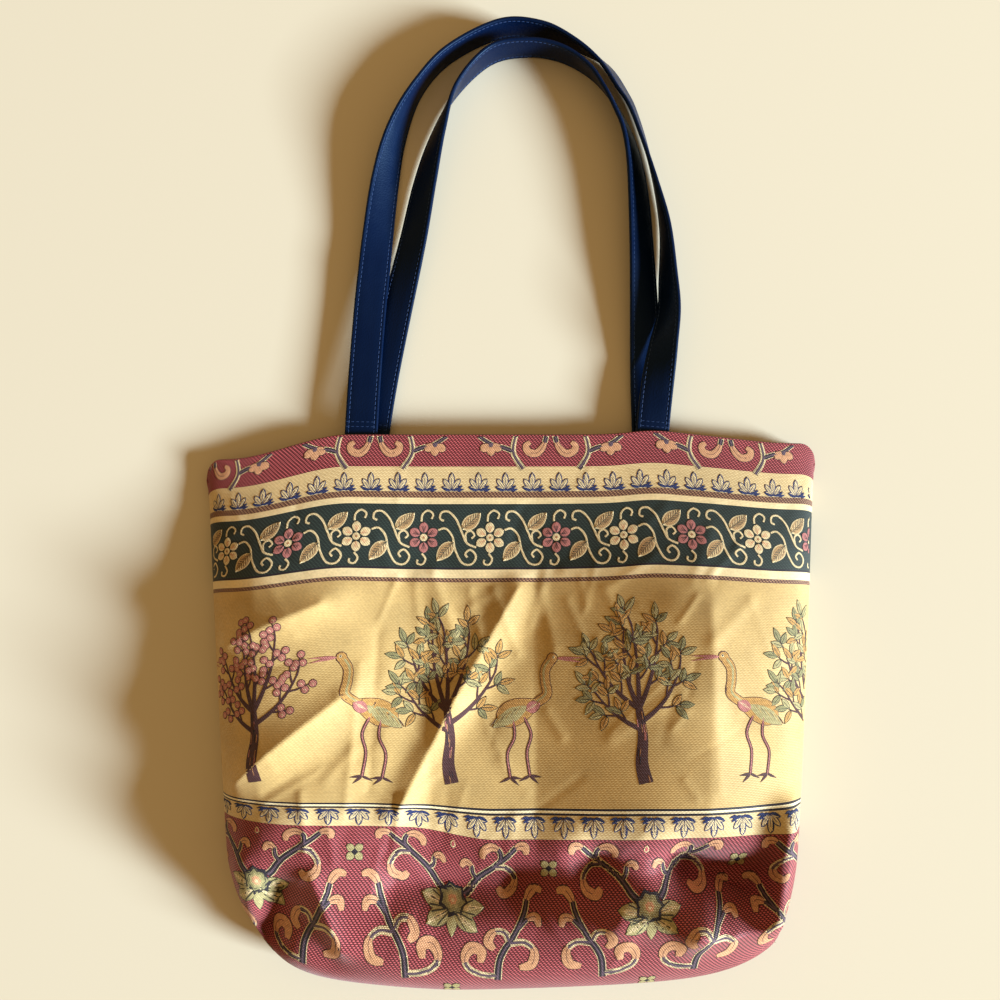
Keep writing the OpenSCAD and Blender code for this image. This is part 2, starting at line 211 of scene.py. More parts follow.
# Outer face of the front: from the seam up to the crown, sunk in its middle, with the folds on top
def frontFace(u, v):
    x, y = plan(u, v)
    seam, share = seamHeight(v), body["bellyShare"]
    rise = rounded(1 - v / share, body["crownPowers"])
    low = body["baseSeamH"] + (body["bellyH"] - body["baseSeamH"]) * rise
    fall = (1 + np.cos(np.pi * np.clip((v - share) / (1 - share), 0, 1) ** body["fallPower"])) / 2
    high = body["mouthH"] + (body["bellyH"] - body["mouthH"]) * fall
    crown = np.where(v < share, low, high)
    pillow = np.where(u < 0, rounded(-u, body["leftPowers"]), rounded(u, body["rightPowers"]))
    z = seam + (crown - seam) * pillow * (1 - sink(u, v)) + foldHeight(u, v)
    return np.stack([x, y, z], -1)


# Outer face of the back: flat on the floor, turning up to the seams
def backFace(u, v):
    x, y = plan(u, v)
    across = rounded((np.abs(u) - body["flatShare"]) / (1 - body["flatShare"]), body["backPowers"])
    along = rounded(1 - v / body["baseRoundShare"], body["basePowers"])
    return np.stack([x, y, seamHeight(v) * (1 - across * along)], -1)


# Drift of the pattern towards the mouth over the left shoulder, where the cloth is drawn together
def drift(u, v):
    low, full, fade, end = body["driftAlong"]
    along = smoothStep(low, full, v) * (1 - smoothStep(fade, end, v))
    return body["driftMost"] * smoothStep(*body["driftAcross"], -u) * along


# No drift: the back lies flat
def noDrift(u, v):
    return 0 * u


# Grid of a panel: steps near a seam, rows at the mouth's edge, cells in millimetres, measuring points
grid = {
    "edgeShare": 0.06, "edgeSteps": 11, "mouthRows": 6, "mouthFirst": 0.1, "mouthFrom": 1.3,
    "cell": 2.0, "backCell": 3.2, "liningCell": 2.4, "backLiningCell": 5.0, "measures": 2001,
}


# Grid lines across, closer together at both seams
def linesAcross(cell):
    edge = grid["edgeShare"] * (np.arange(grid["edgeSteps"]) / grid["edgeSteps"]) ** 2
    count = int(np.ceil((1 - grid["edgeShare"]) * body["mouthW"] / 2 / cell))
    half = np.concatenate([edge, np.linspace(grid["edgeShare"], 1, count)])
    return np.concatenate([half - 1, 1 - half[-2::-1]])


# Grid lines along, closer together at the base seam, up to the given share
def linesAlong(cell, end):
    edge = grid["edgeShare"] * (np.arange(grid["edgeSteps"]) / grid["edgeSteps"]) ** 2
    count = int(np.ceil((end - grid["edgeShare"]) * body["length"] / cell))
    return np.concatenate([edge, np.linspace(grid["edgeShare"], end, count)])


# Unit directions out of a grid of points: across times along
def outward(points, sign):
    n = np.cross(np.gradient(points, axis=1), np.gradient(points, axis=0))
    return sign * n / np.linalg.norm(n, axis=2, keepdims=True)


# Numbers of a grid's points, row by row; a closed grid ends in its first column again
def gridNumbers(rows, cols, closed=False):
    k = np.arange(rows * cols).reshape(rows, cols)
    return np.concatenate([k, k[:, :1]], 1) if closed else k


# Triangles of a grid of point numbers, wound so that across times along is their outside
def gridFaces(k):
    a, b, c, d = k[:-1, :-1].ravel(), k[:-1, 1:].ravel(), k[1:, 1:].ravel(), k[1:, :-1].ravel()
    return np.concatenate([np.stack([a, b, c], 1), np.stack([a, c, d], 1)])


# Closed shell between an outer and an inner grid, joined round the rim
def shellFaces(rows, cols, sign):
    k, count = gridNumbers(rows, cols), rows * cols
    rim = np.concatenate([k[0, :-1], k[:-1, -1], k[-1, :0:-1], k[:0:-1, 0]])
    after = np.roll(rim, -1)
    outer = gridFaces(k)
    edge = [np.stack([after, rim, rim + count], 1), np.stack([after, rim + count, after + count], 1)]
    faces = np.concatenate([outer, outer[:, ::-1] + count] + edge)
    return faces if sign > 0 else faces[:, ::-1]


# Points and faces of several forms as one
def gathered(parts):
    shifts = np.cumsum([0] + [len(p[0]) for p in parts[:-1]])
    faces = np.concatenate([p[1] + s for p, s in zip(parts, shifts)])
    return np.concatenate([p[0] for p in parts]), faces


# A mesh object from points in millimetres, with a map and colours where they are given
def makePiece(name, points, faces, material, cloth=None, colours=None):
    mesh = bpy.data.meshes.new(name)
    mesh.vertices.add(len(points))
    mesh.vertices.foreach_set("co", (points * mm).astype(np.float32).ravel())
    mesh.loops.add(faces.size)
    mesh.loops.foreach_set("vertex_index", faces.astype(np.int32).ravel())
    mesh.polygons.add(len(faces))
    mesh.polygons.foreach_set("loop_start", np.arange(0, faces.size, 3, dtype=np.int32))
    mesh.polygons.foreach_set("use_smooth", np.ones(len(faces), bool))
    if cloth is not None:
        layer = mesh.uv_layers.new(name="cloth")
        layer.data.foreach_set("uv", cloth[faces.ravel()].astype(np.float32).ravel())
    if colours is not None:
        layer = mesh.attributes.new("thread", "FLOAT_COLOR", "POINT")
        layer.data.foreach_set("color", colours.astype(np.float32).ravel())
    mesh.update(calc_edges=True)
    mesh.validate()
    mesh.materials.append(material)
    piece = bpy.data.objects.new(name, mesh)
    bpy.context.collection.objects.link(piece)
    return piece


# Thread and dye colours, as screen values from 0 to 255
palette = {
    "red": (72, 8, 18), "redDash": (202, 97, 102), "cream": (206, 178, 128), "creamDash": (222, 198, 150),
    "gold": (192, 160, 102), "goldDash": (200, 169, 112), "green": (18, 30, 30), "greenDash": (46, 60, 54),
    "brown": (74, 38, 38), "brownDash": (176, 136, 100), "ink": (26, 18, 32), "white": (240, 224, 184),
    "peach": (220, 162, 120), "stem": (98, 76, 92), "navy": (28, 44, 100), "rose": (188, 116, 110),
    "olive": (150, 142, 96), "sage": (182, 168, 116), "leaf": (56, 54, 38), "bark": (76, 40, 42),
    "berry": (194, 122, 110), "feather": (176, 122, 78), "ochre": (200, 150, 80), "pale": (232, 208, 160),
    "ivory": (226, 203, 156), "tan": (196, 156, 106), "thread": (30, 54, 96), "strap": (1, 15, 44),
    "lining": (112, 88, 52), "floor": (217, 208, 188),
}


# Linear colour of a palette entry, by the curve of a screen
def colour(name):
    c = np.array(palette[name]) / 255
    return (*np.where(c < 0.04045, c / 12.92, ((c + 0.055) / 1.055) ** 2.4), 1.0)


# Distance from the base seam along the cloth, measured over the unfolded front near its middle
arcShares = np.linspace(0, 1, grid["measures"])
measureAcross = np.full(grid["measures"], body["measureAcross"])
middle = frontFace(measureAcross, arcShares)
middle[:, 2] -= foldHeight(measureAcross, arcShares)
arcLengths = np.concatenate([[0], np.cumsum(np.linalg.norm(np.diff(middle, axis=0), axis=1))])


# That distance at a share along the body
def arcAt(share):
    return np.interp(share, arcShares, arcLengths)


# Places across the pattern for places across the body: alike in the middle, longer where a side turns down
def wrapShares(face):
    u = np.linspace(-1, 1, grid["measures"])
    v = np.full(grid["measures"], body["wrapAlong"])
    points = face(u, v)
    if face is frontFace:
        points[:, 2] -= foldHeight(u, v)
    steps = np.diff(points, axis=0)
    extra = (np.hypot(steps[:, 0], steps[:, 2]) - steps[:, 0]) * (np.abs(u[1:]) > body["wrapFrom"])
    far = np.concatenate([[0], np.cumsum(extra)])
    return u, u + (far - far[grid["measures"] // 2]) / halfWidth(u, v)


# A node group with named sockets; returns the tree and its input and output nodes
def newGroup(name, inputs, outputs):
    tree = bpy.data.node_groups.new(name, "ShaderNodeTree")
    for label, kind in inputs:
        tree.interface.new_socket(label, in_out="INPUT", socket_type=kind)
    for label, kind in outputs:
        tree.interface.new_socket(label, in_out="OUTPUT", socket_type=kind)
    return tree, tree.nodes.new("NodeGroupInput"), tree.nodes.new("NodeGroupOutput")


# A math node on values or sockets
def math(tree, operation, *values):
    node = tree.nodes.new("ShaderNodeMath")
    node.operation = operation
    for k, value in enumerate(values):
        if isinstance(value, bpy.types.NodeSocket):
            tree.links.new(value, node.inputs[k])
        else:
            node.inputs[k].default_value = value
    return node.outputs[0]


# Weave: shift of a row as a share of a dash, where a dash begins and is full, and shares of its rib
weaveForm = {"slant": 0.36, "dashFrom": 0.16, "dashFull": 0.48, "rowRib": 0.35, "dashRib": 0.8}


# Weave: dashes, each a row wave times a dash wave, shifted from row to row into a slant, with their rib
def weaveGroup():
    tree, start, end = newGroup(
        "Weave",
        [("Cloth", "NodeSocketVector"), ("Row", "NodeSocketFloat"), ("Dash", "NodeSocketFloat")],
        [("Mask", "NodeSocketFloat"), ("Height", "NodeSocketFloat")],
    )
    apart = tree.nodes.new("ShaderNodeSeparateXYZ")
    tree.links.new(start.outputs["Cloth"], apart.inputs[0])
    row = math(tree, "DIVIDE", apart.outputs[1], start.outputs["Row"])
    slant = math(tree, "MULTIPLY", math(tree, "FLOOR", row), weaveForm["slant"])
    dash = math(tree, "ADD", math(tree, "DIVIDE", apart.outputs[0], start.outputs["Dash"]), slant)
    rowWave = math(tree, "PINGPONG", math(tree, "MULTIPLY", row, 2.0), 1.0)
    dashWave = math(tree, "PINGPONG", math(tree, "MULTIPLY", dash, 2.0), 1.0)
    product = math(tree, "MULTIPLY", rowWave, dashWave)
    mask = tree.nodes.new("ShaderNodeMapRange")
    mask.interpolation_type = "SMOOTHSTEP"
    tree.links.new(product, mask.inputs["Value"])
    mask.inputs["From Min"].default_value = weaveForm["dashFrom"]
    mask.inputs["From Max"].default_value = weaveForm["dashFull"]
    tree.links.new(mask.outputs[0], end.inputs["Mask"])
    rowRib = math(tree, "MULTIPLY", rowWave, weaveForm["rowRib"])
    dashRib = math(tree, "MULTIPLY", product, weaveForm["dashRib"])
    tree.links.new(math(tree, "ADD", rowRib, dashRib), end.inputs["Height"])
    return tree


# Mottle: detail of its noise, and the values of the noise that give the least and the most
mottleForm = {"detail": 4.0, "least": 0.3, "most": 0.7}


# Mottle: slow noise, spread from the least to the most, for uneven dye, fibre and polish
def mottleGroup():
    tree, start, end = newGroup(
        "Mottle",
        [
            ("Place", "NodeSocketVector"), ("Scale", "NodeSocketFloat"),
            ("Least", "NodeSocketFloat"), ("Most", "NodeSocketFloat"),
        ],
        [("Value", "NodeSocketFloat")],
    )
    noise = tree.nodes.new("ShaderNodeTexNoise")
    noise.inputs["Detail"].default_value = mottleForm["detail"]
    tree.links.new(start.outputs["Place"], noise.inputs["Vector"])
    tree.links.new(start.outputs["Scale"], noise.inputs["Scale"])
    spread = tree.nodes.new("ShaderNodeMapRange")
    tree.links.new(noise.outputs[0], spread.inputs["Value"])
    spread.inputs["From Min"].default_value = mottleForm["least"]
    spread.inputs["From Max"].default_value = mottleForm["most"]
    tree.links.new(start.outputs["Least"], spread.inputs["To Min"])
    tree.links.new(start.outputs["Most"], spread.inputs["To Max"])
    tree.links.new(spread.outputs[0], end.inputs["Value"])
    return tree


# Grain: pebbles of leather, as the distance to the middle of the nearest cell
def grainGroup():
    tree, start, end = newGroup(
        "Grain",
        [("Place", "NodeSocketVector"), ("Scale", "NodeSocketFloat")],
        [("Height", "NodeSocketFloat")],
    )
    cells = tree.nodes.new("ShaderNodeTexVoronoi")
    tree.links.new(start.outputs["Place"], cells.inputs["Vector"])
    tree.links.new(start.outputs["Scale"], cells.inputs["Scale"])
    tree.links.new(cells.outputs["Distance"], end.inputs["Height"])
    return tree


weave, mottle, grain = weaveGroup(), mottleGroup(), grainGroup()


# A new material with its tree and shader; its roughness may be linked later
def newMaterial(name, roughness=0.5):
    material = bpy.data.materials.new(name)
    material.use_nodes = True
    shader = material.node_tree.nodes["Principled BSDF"]
    shader.inputs["Roughness"].default_value = roughness
    return material, material.node_tree, shader


# A group placed in a material, with its plain inputs set
def useGroup(tree, group, **values):
    node = tree.nodes.new("ShaderNodeGroup")
    node.node_tree = group
    for label, value in values.items():
        node.inputs[label].default_value = value
    return node


# The mottle placed in a material, between two ends
def useMottle(tree, place, scale, ends):
    node = useGroup(tree, mottle, Scale=scale, Least=ends[0], Most=ends[1])
    tree.links.new(place, node.inputs["Place"])
    return node.outputs[0]


# A colour multiplied by a value
def scaledColour(tree, source, value):
    node = tree.nodes.new("ShaderNodeVectorMath")
    node.operation = "SCALE"
    tree.links.new(source, node.inputs[0])
    tree.links.new(value, node.inputs["Scale"])
    return node.outputs[0]


# A bump from a height, in metres
def bump(tree, shader, height, distance):
    node = tree.nodes.new("ShaderNodeBump")
    node.inputs["Distance"].default_value = distance
    tree.links.new(height, node.inputs["Height"])
    tree.links.new(node.outputs[0], shader.inputs["Normal"])


# Where the main bands of the cloth start, as shares along the body
bandAt = {
    "lowerBorder": 0.2547, "lowerLines": 0.2965, "picture": 0.3052, "vine": 0.7357, "vineEnd": 0.8606,
    "upperBorder": 0.8832, "mouth": 0.9335,
}

# All the bands: where each starts, with its ground and weave colours
bands = [
    (0.0, "red", "redDash"), (bandAt["lowerBorder"], "cream", "creamDash"),
    (bandAt["lowerLines"], "ink", "ink"), (0.2995, "white", "white"), (0.3025, "ink", "ink"),
    (bandAt["picture"], "gold", "goldDash"), (0.7116, "brown", "brownDash"), (0.7206, "ivory", "pale"),
    (bandAt["vine"], "ink", "ink"), (0.7372, "green", "greenDash"), (0.8586, "ink", "ink"),
    (bandAt["vineEnd"], "ivory", "pale"), (0.8732, "brown", "brownDash"), (0.8768, "white", "white"),
    (0.8784, "brown", "brownDash"), (bandAt["upperBorder"], "cream", "creamDash"),
    (bandAt["mouth"], "red", "redDash"),
]


# A stepped ramp along the cloth, one colour per band
def bandRamp(tree, along, column):
    ramp = tree.nodes.new("ShaderNodeValToRGB")
    ramp.color_ramp.interpolation = "CONSTANT"
    stops = ramp.color_ramp.elements
    stops.remove(stops[1])
    for k, band in enumerate(bands):
        stop = stops[0] if k == 0 else stops.new(float(arcAt(band[0]) / arcLengths[-1]))
        stop.position = float(arcAt(band[0]) / arcLengths[-1])
        stop.color = colour(band[column])
    tree.links.new(along, ramp.inputs[0])
    return ramp.outputs[0]


# Look of the cloth: weave in millimetres, rib in metres, dye and fibre from least to most
clothLook = {
    "roughness": 0.6, "gloss": 0.3, "sheen": 0.15, "row": 1.02, "dash": 2.3, "rib": 0.00014,
    "dyeScale": 0.035, "dye": (0.86, 1.08), "fibreScale": 0.55, "fibre": (0.9, 1.09),
}


# Colour sockets of a mix node: ground and dash go in, the mixed colour comes out
mixSockets = {"ground": 6, "dash": 7, "mixed": 2}


# Tapestry: bands of ground colour with dashes of the weave colour, ribbed by the weave
def tapestryMaterial():
    look = clothLook
    material, tree, shader = newMaterial("tapestry", look["roughness"])
    shader.inputs["Specular IOR Level"].default_value = look["gloss"]
    shader.inputs["Sheen Weight"].default_value = look["sheen"]
    cloth = tree.nodes.new("ShaderNodeUVMap")
    cloth.uv_map = "cloth"
    place = cloth.outputs[0]
    apart = tree.nodes.new("ShaderNodeSeparateXYZ")
    tree.links.new(place, apart.inputs[0])
    along = math(tree, "DIVIDE", apart.outputs[1], float(arcLengths[-1]))
    threads = useGroup(tree, weave, Row=look["row"], Dash=look["dash"])
    tree.links.new(place, threads.inputs["Cloth"])
    mix = tree.nodes.new("ShaderNodeMix")
    mix.data_type = "RGBA"
    tree.links.new(threads.outputs["Mask"], mix.inputs[0])
    tree.links.new(bandRamp(tree, along, 1), mix.inputs[mixSockets["ground"]])
    tree.links.new(bandRamp(tree, along, 2), mix.inputs[mixSockets["dash"]])
    dye = useMottle(tree, place, look["dyeScale"], look["dye"])
    fibre = useMottle(tree, place, look["fibreScale"], look["fibre"])
    dyed = scaledColour(tree, mix.outputs[mixSockets["mixed"]], dye)
    tree.links.new(scaledColour(tree, dyed, fibre), shader.inputs["Base Color"])
    bump(tree, shader, threads.outputs["Height"], look["rib"])
    return material


# Look of the figures, in the same terms, with the tone between and on the dashes: painted shade in the
# weave's gaps and painted light on its dashes
figureLook = {
    "roughness": 0.7, "row": 0.8, "dash": 1.5, "rib": 0.0003,
    "dyeScale": 0.6, "dye": (0.75, 1.15), "tone": (0.72, 1.16),
}


# Figure threads: the colour each figure carries, ribbed like the ground, darker in the weave's gaps as
# painted shade and lighter on its dashes as painted light
def figureMaterial():
    look = figureLook
    material, tree, shader = newMaterial("figureThread", look["roughness"])
    thread = tree.nodes.new("ShaderNodeAttribute")
    thread.attribute_name = "thread"
    cloth = tree.nodes.new("ShaderNodeUVMap")
    cloth.uv_map = "cloth"
    threads = useGroup(tree, weave, Row=look["row"], Dash=look["dash"])
    tree.links.new(cloth.outputs[0], threads.inputs["Cloth"])
    # Painted shade and light of the weave: the thread colour darkened between the dashes and lightened on
    # them
    tone = tree.nodes.new("ShaderNodeMapRange")
    tone.inputs["To Min"].default_value = look["tone"][0]
    tone.inputs["To Max"].default_value = look["tone"][1]
    tree.links.new(threads.outputs["Mask"], tone.inputs["Value"])
    dye = useMottle(tree, cloth.outputs[0], look["dyeScale"], look["dye"])
    dyed = scaledColour(tree, thread.outputs["Color"], dye)
    tree.links.new(scaledColour(tree, dyed, tone.outputs[0]), shader.inputs["Base Color"])
    bump(tree, shader, threads.outputs["Height"], look["rib"])
    return material


# Look of the leather: grain in cells to a metre, its depth in metres, roughness from least to most
leatherLook = {
    "gloss": 0.22, "glossTint": (0.4, 0.65, 1.0, 1.0), "grainScale": 900.0, "grainDepth": 0.00008,
    "polishScale": 60.0, "polish": (0.36, 0.52),
}


# Strap leather: dark navy with a fine pebble grain and an uneven polish
def leatherMaterial():
    look = leatherLook
    material, tree, shader = newMaterial("strapLeather")
    place = tree.nodes.new("ShaderNodeTexCoord").outputs["Object"]
    shader.inputs["Base Color"].default_value = colour("strap")
    shader.inputs["Specular IOR Level"].default_value = look["gloss"]
    shader.inputs["Specular Tint"].default_value = look["glossTint"]
    pebbles = useGroup(tree, grain, Scale=look["grainScale"])
    tree.links.new(place, pebbles.inputs["Place"])
    polish = useMottle(tree, place, look["polishScale"], look["polish"])
    tree.links.new(polish, shader.inputs["Roughness"])
    bump(tree, shader, pebbles.outputs["Height"], look["grainDepth"])
    return material


# A plain material of one colour
def plainMaterial(name, shade, roughness, gloss):
    material, _, shader = newMaterial(name, roughness)
    shader.inputs["Base Color"].default_value = colour(shade)
    shader.inputs["Specular IOR Level"].default_value = gloss
    return material


tapestry, figureThread, leather = tapestryMaterial(), figureMaterial(), leatherMaterial()
liningCloth = plainMaterial("liningCloth", "lining", roughness=0.8, gloss=0.2)
strapThread = plainMaterial("strapThread", "thread", roughness=0.6, gloss=0.3)
print("materials made")


# Share along at which the hem's lower edge lies
hemShare = 1 - body["hemDepth"] / body["length"]


# Depth below the outer face of a panel's two skins: cloth, doubled at the hem, rounded over the mouth's edge
def panelDepths(u, v):
    t = body["clothT"]
    hem = t * np.clip((1 - np.abs(u)) / body["hemFadeShare"], 0, 1) * (v > hemShare - tiny)
    full = t + hem
    r = full / 2
    d = np.clip(r - (1 - v) * body["length"], 0, None)
    turn = r - np.sqrt(np.clip(r * r - d * d * body["edgeFull"], 0, None))
    return turn, full - turn


# A panel as a closed shell: the face, pinched along the seams, then both skins below it
def panel(name, face, sign, cell, shift):
    edgeR = body["clothT"] / body["length"]
    turns = np.linspace(grid["mouthFirst"], 1, grid["mouthRows"]) * np.pi / 2
    rows = np.concatenate([
        linesAlong(cell, hemShare - edgeR / 2),
        np.linspace(hemShare, 1 - grid["mouthFrom"] * edgeR, int(body["hemDepth"] / cell) + 1),
        1 - edgeR * (1 - np.sin(turns)),
    ])
    u, v = np.meshgrid(linesAcross(cell), rows)
    points = face(u, v)
    out = outward(points, sign)
    along = np.where(np.abs(u) > 1 - body["foldFadeShare"], points[..., 1], points[..., 0])
    pucker = 1 + body["puckerShare"] * np.sin(2 * np.pi * along / body["seamPucker"])
    dent = body["seamDent"] * pucker * bell(points[..., 2] - seamHeight(v), body["seamWidth"])
    points = points - out * dent[..., None]
    near, far = panelDepths(u, v)
    outer, inner = points - out * near[..., None], points - out * far[..., None]
    skins = np.concatenate([outer.reshape(-1, 3), inner.reshape(-1, 3)])
    wrap = wrapShares(face)
    across = np.interp(u, *wrap) * halfWidth(u, v)
    cloth = np.stack([across, arcAt(v) - shift(u, v)], -1).reshape(-1, 2)
    piece = makePiece(name, skins, shellFaces(*u.shape, sign), tapestry, np.concatenate([cloth, cloth]))
    return piece, {"across": u[0], "along": rows, "points": outer, "out": out, "shift": shift, "wrap": wrap}


# A lining as a closed shell at its depth behind a panel's face
def lining(name, face, sign, cell):
    u, v = np.meshgrid(linesAcross(cell), linesAlong(cell, hemShare))
    points = face(u, v)
    out = outward(points, sign)
    depth = body["clothT"] + body["liningGap"]
    outer, inner = points - out * depth, points - out * (depth + body["liningT"])
    skins = np.concatenate([outer.reshape(-1, 3), inner.reshape(-1, 3)])
    return makePiece(name, skins, shellFaces(*u.shape, sign), liningCloth)


frontPanel, frontSkin = panel("frontPanel", frontFace, 1, grid["cell"], drift)
backPanel, backSkin = panel("backPanel", backFace, -1, grid["backCell"], noDrift)
frontLining = lining("frontLining", frontFace, 1, grid["liningCell"])
backLining = lining("backLining", backFace, -1, grid["backLiningCell"])
print("panels made", len(frontPanel.data.polygons), len(backPanel.data.polygons))


# Smooth path through points: Catmull-Rom, then even steps along its length
def smoothPath(points, step, fineness=16):
    p = np.vstack([2 * points[0] - points[1], points, 2 * points[-1] - points[-2]])
    t = np.linspace(0, 1, fineness, endpoint=False)[None, :, None]
    a, b, c, d = (p[k:len(p) - 3 + k, None] for k in range(4))
    square, cube = 2 * a - 5 * b + 4 * c - d, 3 * b - a - 3 * c + d
    fine = (2 * b + (c - a) * t + square * t ** 2 + cube * t ** 3) / 2
    fine = np.vstack([fine.reshape(-1, p.shape[1]), p[-2:-1]])
    far = np.concatenate([[0], np.cumsum(np.linalg.norm(np.diff(fine[:, :2], axis=0), axis=1))])
    even = np.linspace(0, far[-1], max(int(far[-1] / step), 2))
    return np.stack([np.interp(even, far, fine[:, k]) for k in range(p.shape[1])], 1)


# Straps, in millimetres; the half section is in shares of the half width
strapForm = {
    "width": 22.0, "thick": 2.8, "spacing": 194.0, "reach": 302.0, "tail": 24.0, "gap": 0.3,
    "frontSeat": 10.09, "backSeat": 2.7, "step": 2.2, "edgeR": 1.0,
    "stitchIn": 2.6, "grooveDepth": 0.22, "grooveWidth": 0.55, "stitchPitch": 3.3, "stitchLength": 2.5,
    "stitchThick": 0.62, "stitchLift": 0.02, "stitchSides": 6, "stitchEnds": (0.04, 0.96),
    "crossRows": (7.0, 9.6),
    "halfSection": (-1, -0.99, -0.96, -0.91, -0.86, -0.8, -0.765, -0.73, -0.65, -0.3, 0),
    "edgeFull": 0.98,
}

# Ways of the straps: shares of half the spacing and of the reach, roll in degrees, share of the seat's lift
frontStrapShares = np.array([
    (-1.031, 0, 0, 1), (-1.02, 0.13, 2, 0.8), (-0.995, 0.295, 6, 0.56), (-0.974, 0.387, 12, 0.39),
    (-0.954, 0.477, 22, 0.04), (-0.907, 0.609, 38, 0), (-0.83, 0.725, 60, 0), (-0.68, 0.838, 85, 0),
    (-0.454, 0.927, 90, 0), (-0.082, 0.993, 90, 0), (0.227, 0.99, 93, 0), (0.474, 0.954, 104, 0),
    (0.686, 0.904, 120, 0), (0.82, 0.834, 121, 0), (0.895, 0.781, 114, 0), (0.975, 0.692, 108, 0),
    (1.05, 0.586, 98, 0), (1.1, 0.487, 84, 0), (1.11, 0.374, 68, 0), (1.105, 0.288, 56, 0.32),
    (1.055, 0.202, 36, 0.68), (1.01, 0.113, 12, 0.88), (0.969, 0, 0, 1),
])
backStrapShares = np.array([
    (-0.959, 0, 0, 1), (-0.907, 0.13, -3, 0.54), (-0.814, 0.295, -10, 0.08), (-0.701, 0.467, -26, 0),
    (-0.619, 0.609, -39, 0), (-0.531, 0.725, -58, 0), (-0.402, 0.834, -82, 0), (-0.155, 0.924, -92, 0),
    (0.124, 0.945, -90, 0), (0.371, 0.93, -86, 0), (0.577, 0.886, -79, 0), (0.706, 0.831, -70, 0),
    (0.784, 0.781, -66, 0), (0.85, 0.728, -63, 0), (0.897, 0.659, -54, 0), (0.923, 0.57, -44, 0),
    (0.938, 0.427, -34, 0), (0.945, 0.295, -22, 0), (0.948, 0.13, -6, 0.38), (0.952, 0, 0, 1),
])


# A strap's path and axes: along, across its width, and through its thickness
def strapFrame(shares, seat, step):
    s = strapForm
    laid = np.stack([
        shares[:, 0] * s["spacing"] / 2, body["mouthY"] + shares[:, 1] * s["reach"], shares[:, 2],
        s["gap"] + shares[:, 3] * (seat - s["gap"]),
    ], 1)
    tail = np.array([0, s["tail"], 0, 0])
    path = smoothPath(np.vstack([laid[0] - tail, laid, laid[-1] - tail]), step)
    roll = np.radians(path[:, 2])[:, None]
    d = np.gradient(path[:, :2], axis=0)
    d /= np.linalg.norm(d, axis=1, keepdims=True)
    side = np.stack([-d[:, 1], d[:, 0], 0 * d[:, 0]], 1)
    up = np.array([[0.0, 0.0, 1.0]])
    across = side * np.cos(roll) + up * np.sin(roll)
    through = up * np.cos(roll) - side * np.sin(roll)
    z = s["width"] / 2 * np.abs(np.sin(roll)) + s["thick"] / 2 * np.abs(np.cos(roll)) + path[:, 3:]
    centre = np.hstack([path[:, :2], z])
    along = np.gradient(centre, axis=0)
    along /= np.linalg.norm(along, axis=1, keepdims=True)
    return centre, along, across, through


# Half thickness of a strap across its width: round edges and a groove under each stitch row
def strapHalf(x):
    s = strapForm
    edge = np.clip((np.abs(x) - s["width"] / 2 + s["edgeR"]) / s["edgeR"], 0, 1)
    groove = s["grooveDepth"] * bell(np.abs(x) - s["width"] / 2 + s["stitchIn"], s["grooveWidth"])
    return s["thick"] / 2 * np.sqrt(1 - edge * edge * s["edgeFull"]) - groove


# A strap: its section carried along the path, closed by fans at both ends
def strap(name, shares, seat):
    x = strapForm["width"] / 2 * np.array(strapForm["halfSection"])
    x = np.concatenate([x, -x[-2::-1]])
    section = np.concatenate([np.stack([x, -strapHalf(x)], 1), np.stack([x, strapHalf(x)], 1)[::-1]])
    centre, _, across, through = strapFrame(shares, seat, strapForm["step"])
    rings = centre[:, None] + across[:, None] * section[None, :, :1]
    rings = rings + through[:, None] * section[None, :, 1:]
    rows, count = rings.shape[:2]
    k = gridNumbers(rows, count, closed=True)
    first, last, foot, head = k[0], k[-1], rows * count, rows * count + 1
    fans = [
        np.stack([first[1:], first[:-1], np.full(count, foot)], 1),
        np.stack([last[:-1], last[1:], np.full(count, head)], 1),
    ]
    points = np.concatenate([rings.reshape(-1, 3), centre[:1], centre[-1:]])
    return makePiece(name, points, np.concatenate([gridFaces(k)] + fans), leather)


# Copies of a small closed form at many places, each with its own three axes
def copies(form, faces, origin, axes):
    points = origin[:, None] + sum(form[None, :, k:k + 1] * axes[k][:, None] for k in range(3))
    shift = np.arange(len(origin))[:, None, None] * len(form)
    return points.reshape(-1, 3), (faces[None] + shift).reshape(-1, 3)


# A stitch: a short spindle along the first axis, its rings closed by a flat fan at both ends
def stitchForm(length, thick):
    n = strapForm["stitchSides"]
    a = np.linspace(*strapForm["stitchEnds"], n)[:, None] * np.pi
    b = np.linspace(0, 2 * np.pi, n, endpoint=False)[None]
    r = thick / 2 * np.sqrt(np.sin(a))
    form = np.stack([-length / 2 * np.cos(a) + 0 * b, r * np.cos(b), r * np.sin(b)], -1).reshape(-1, 3)
    k = gridNumbers(n, n, closed=True)
    first, last = k[0, :n], k[-1, :n]
    fans = [
        np.stack([np.full(n - 2, first[0]), first[2:], first[1:-1]], 1),
        np.stack([np.full(n - 2, last[0]), last[1:-1], last[2:]], 1),
    ]
    return form, np.concatenate([gridFaces(k)] + fans)


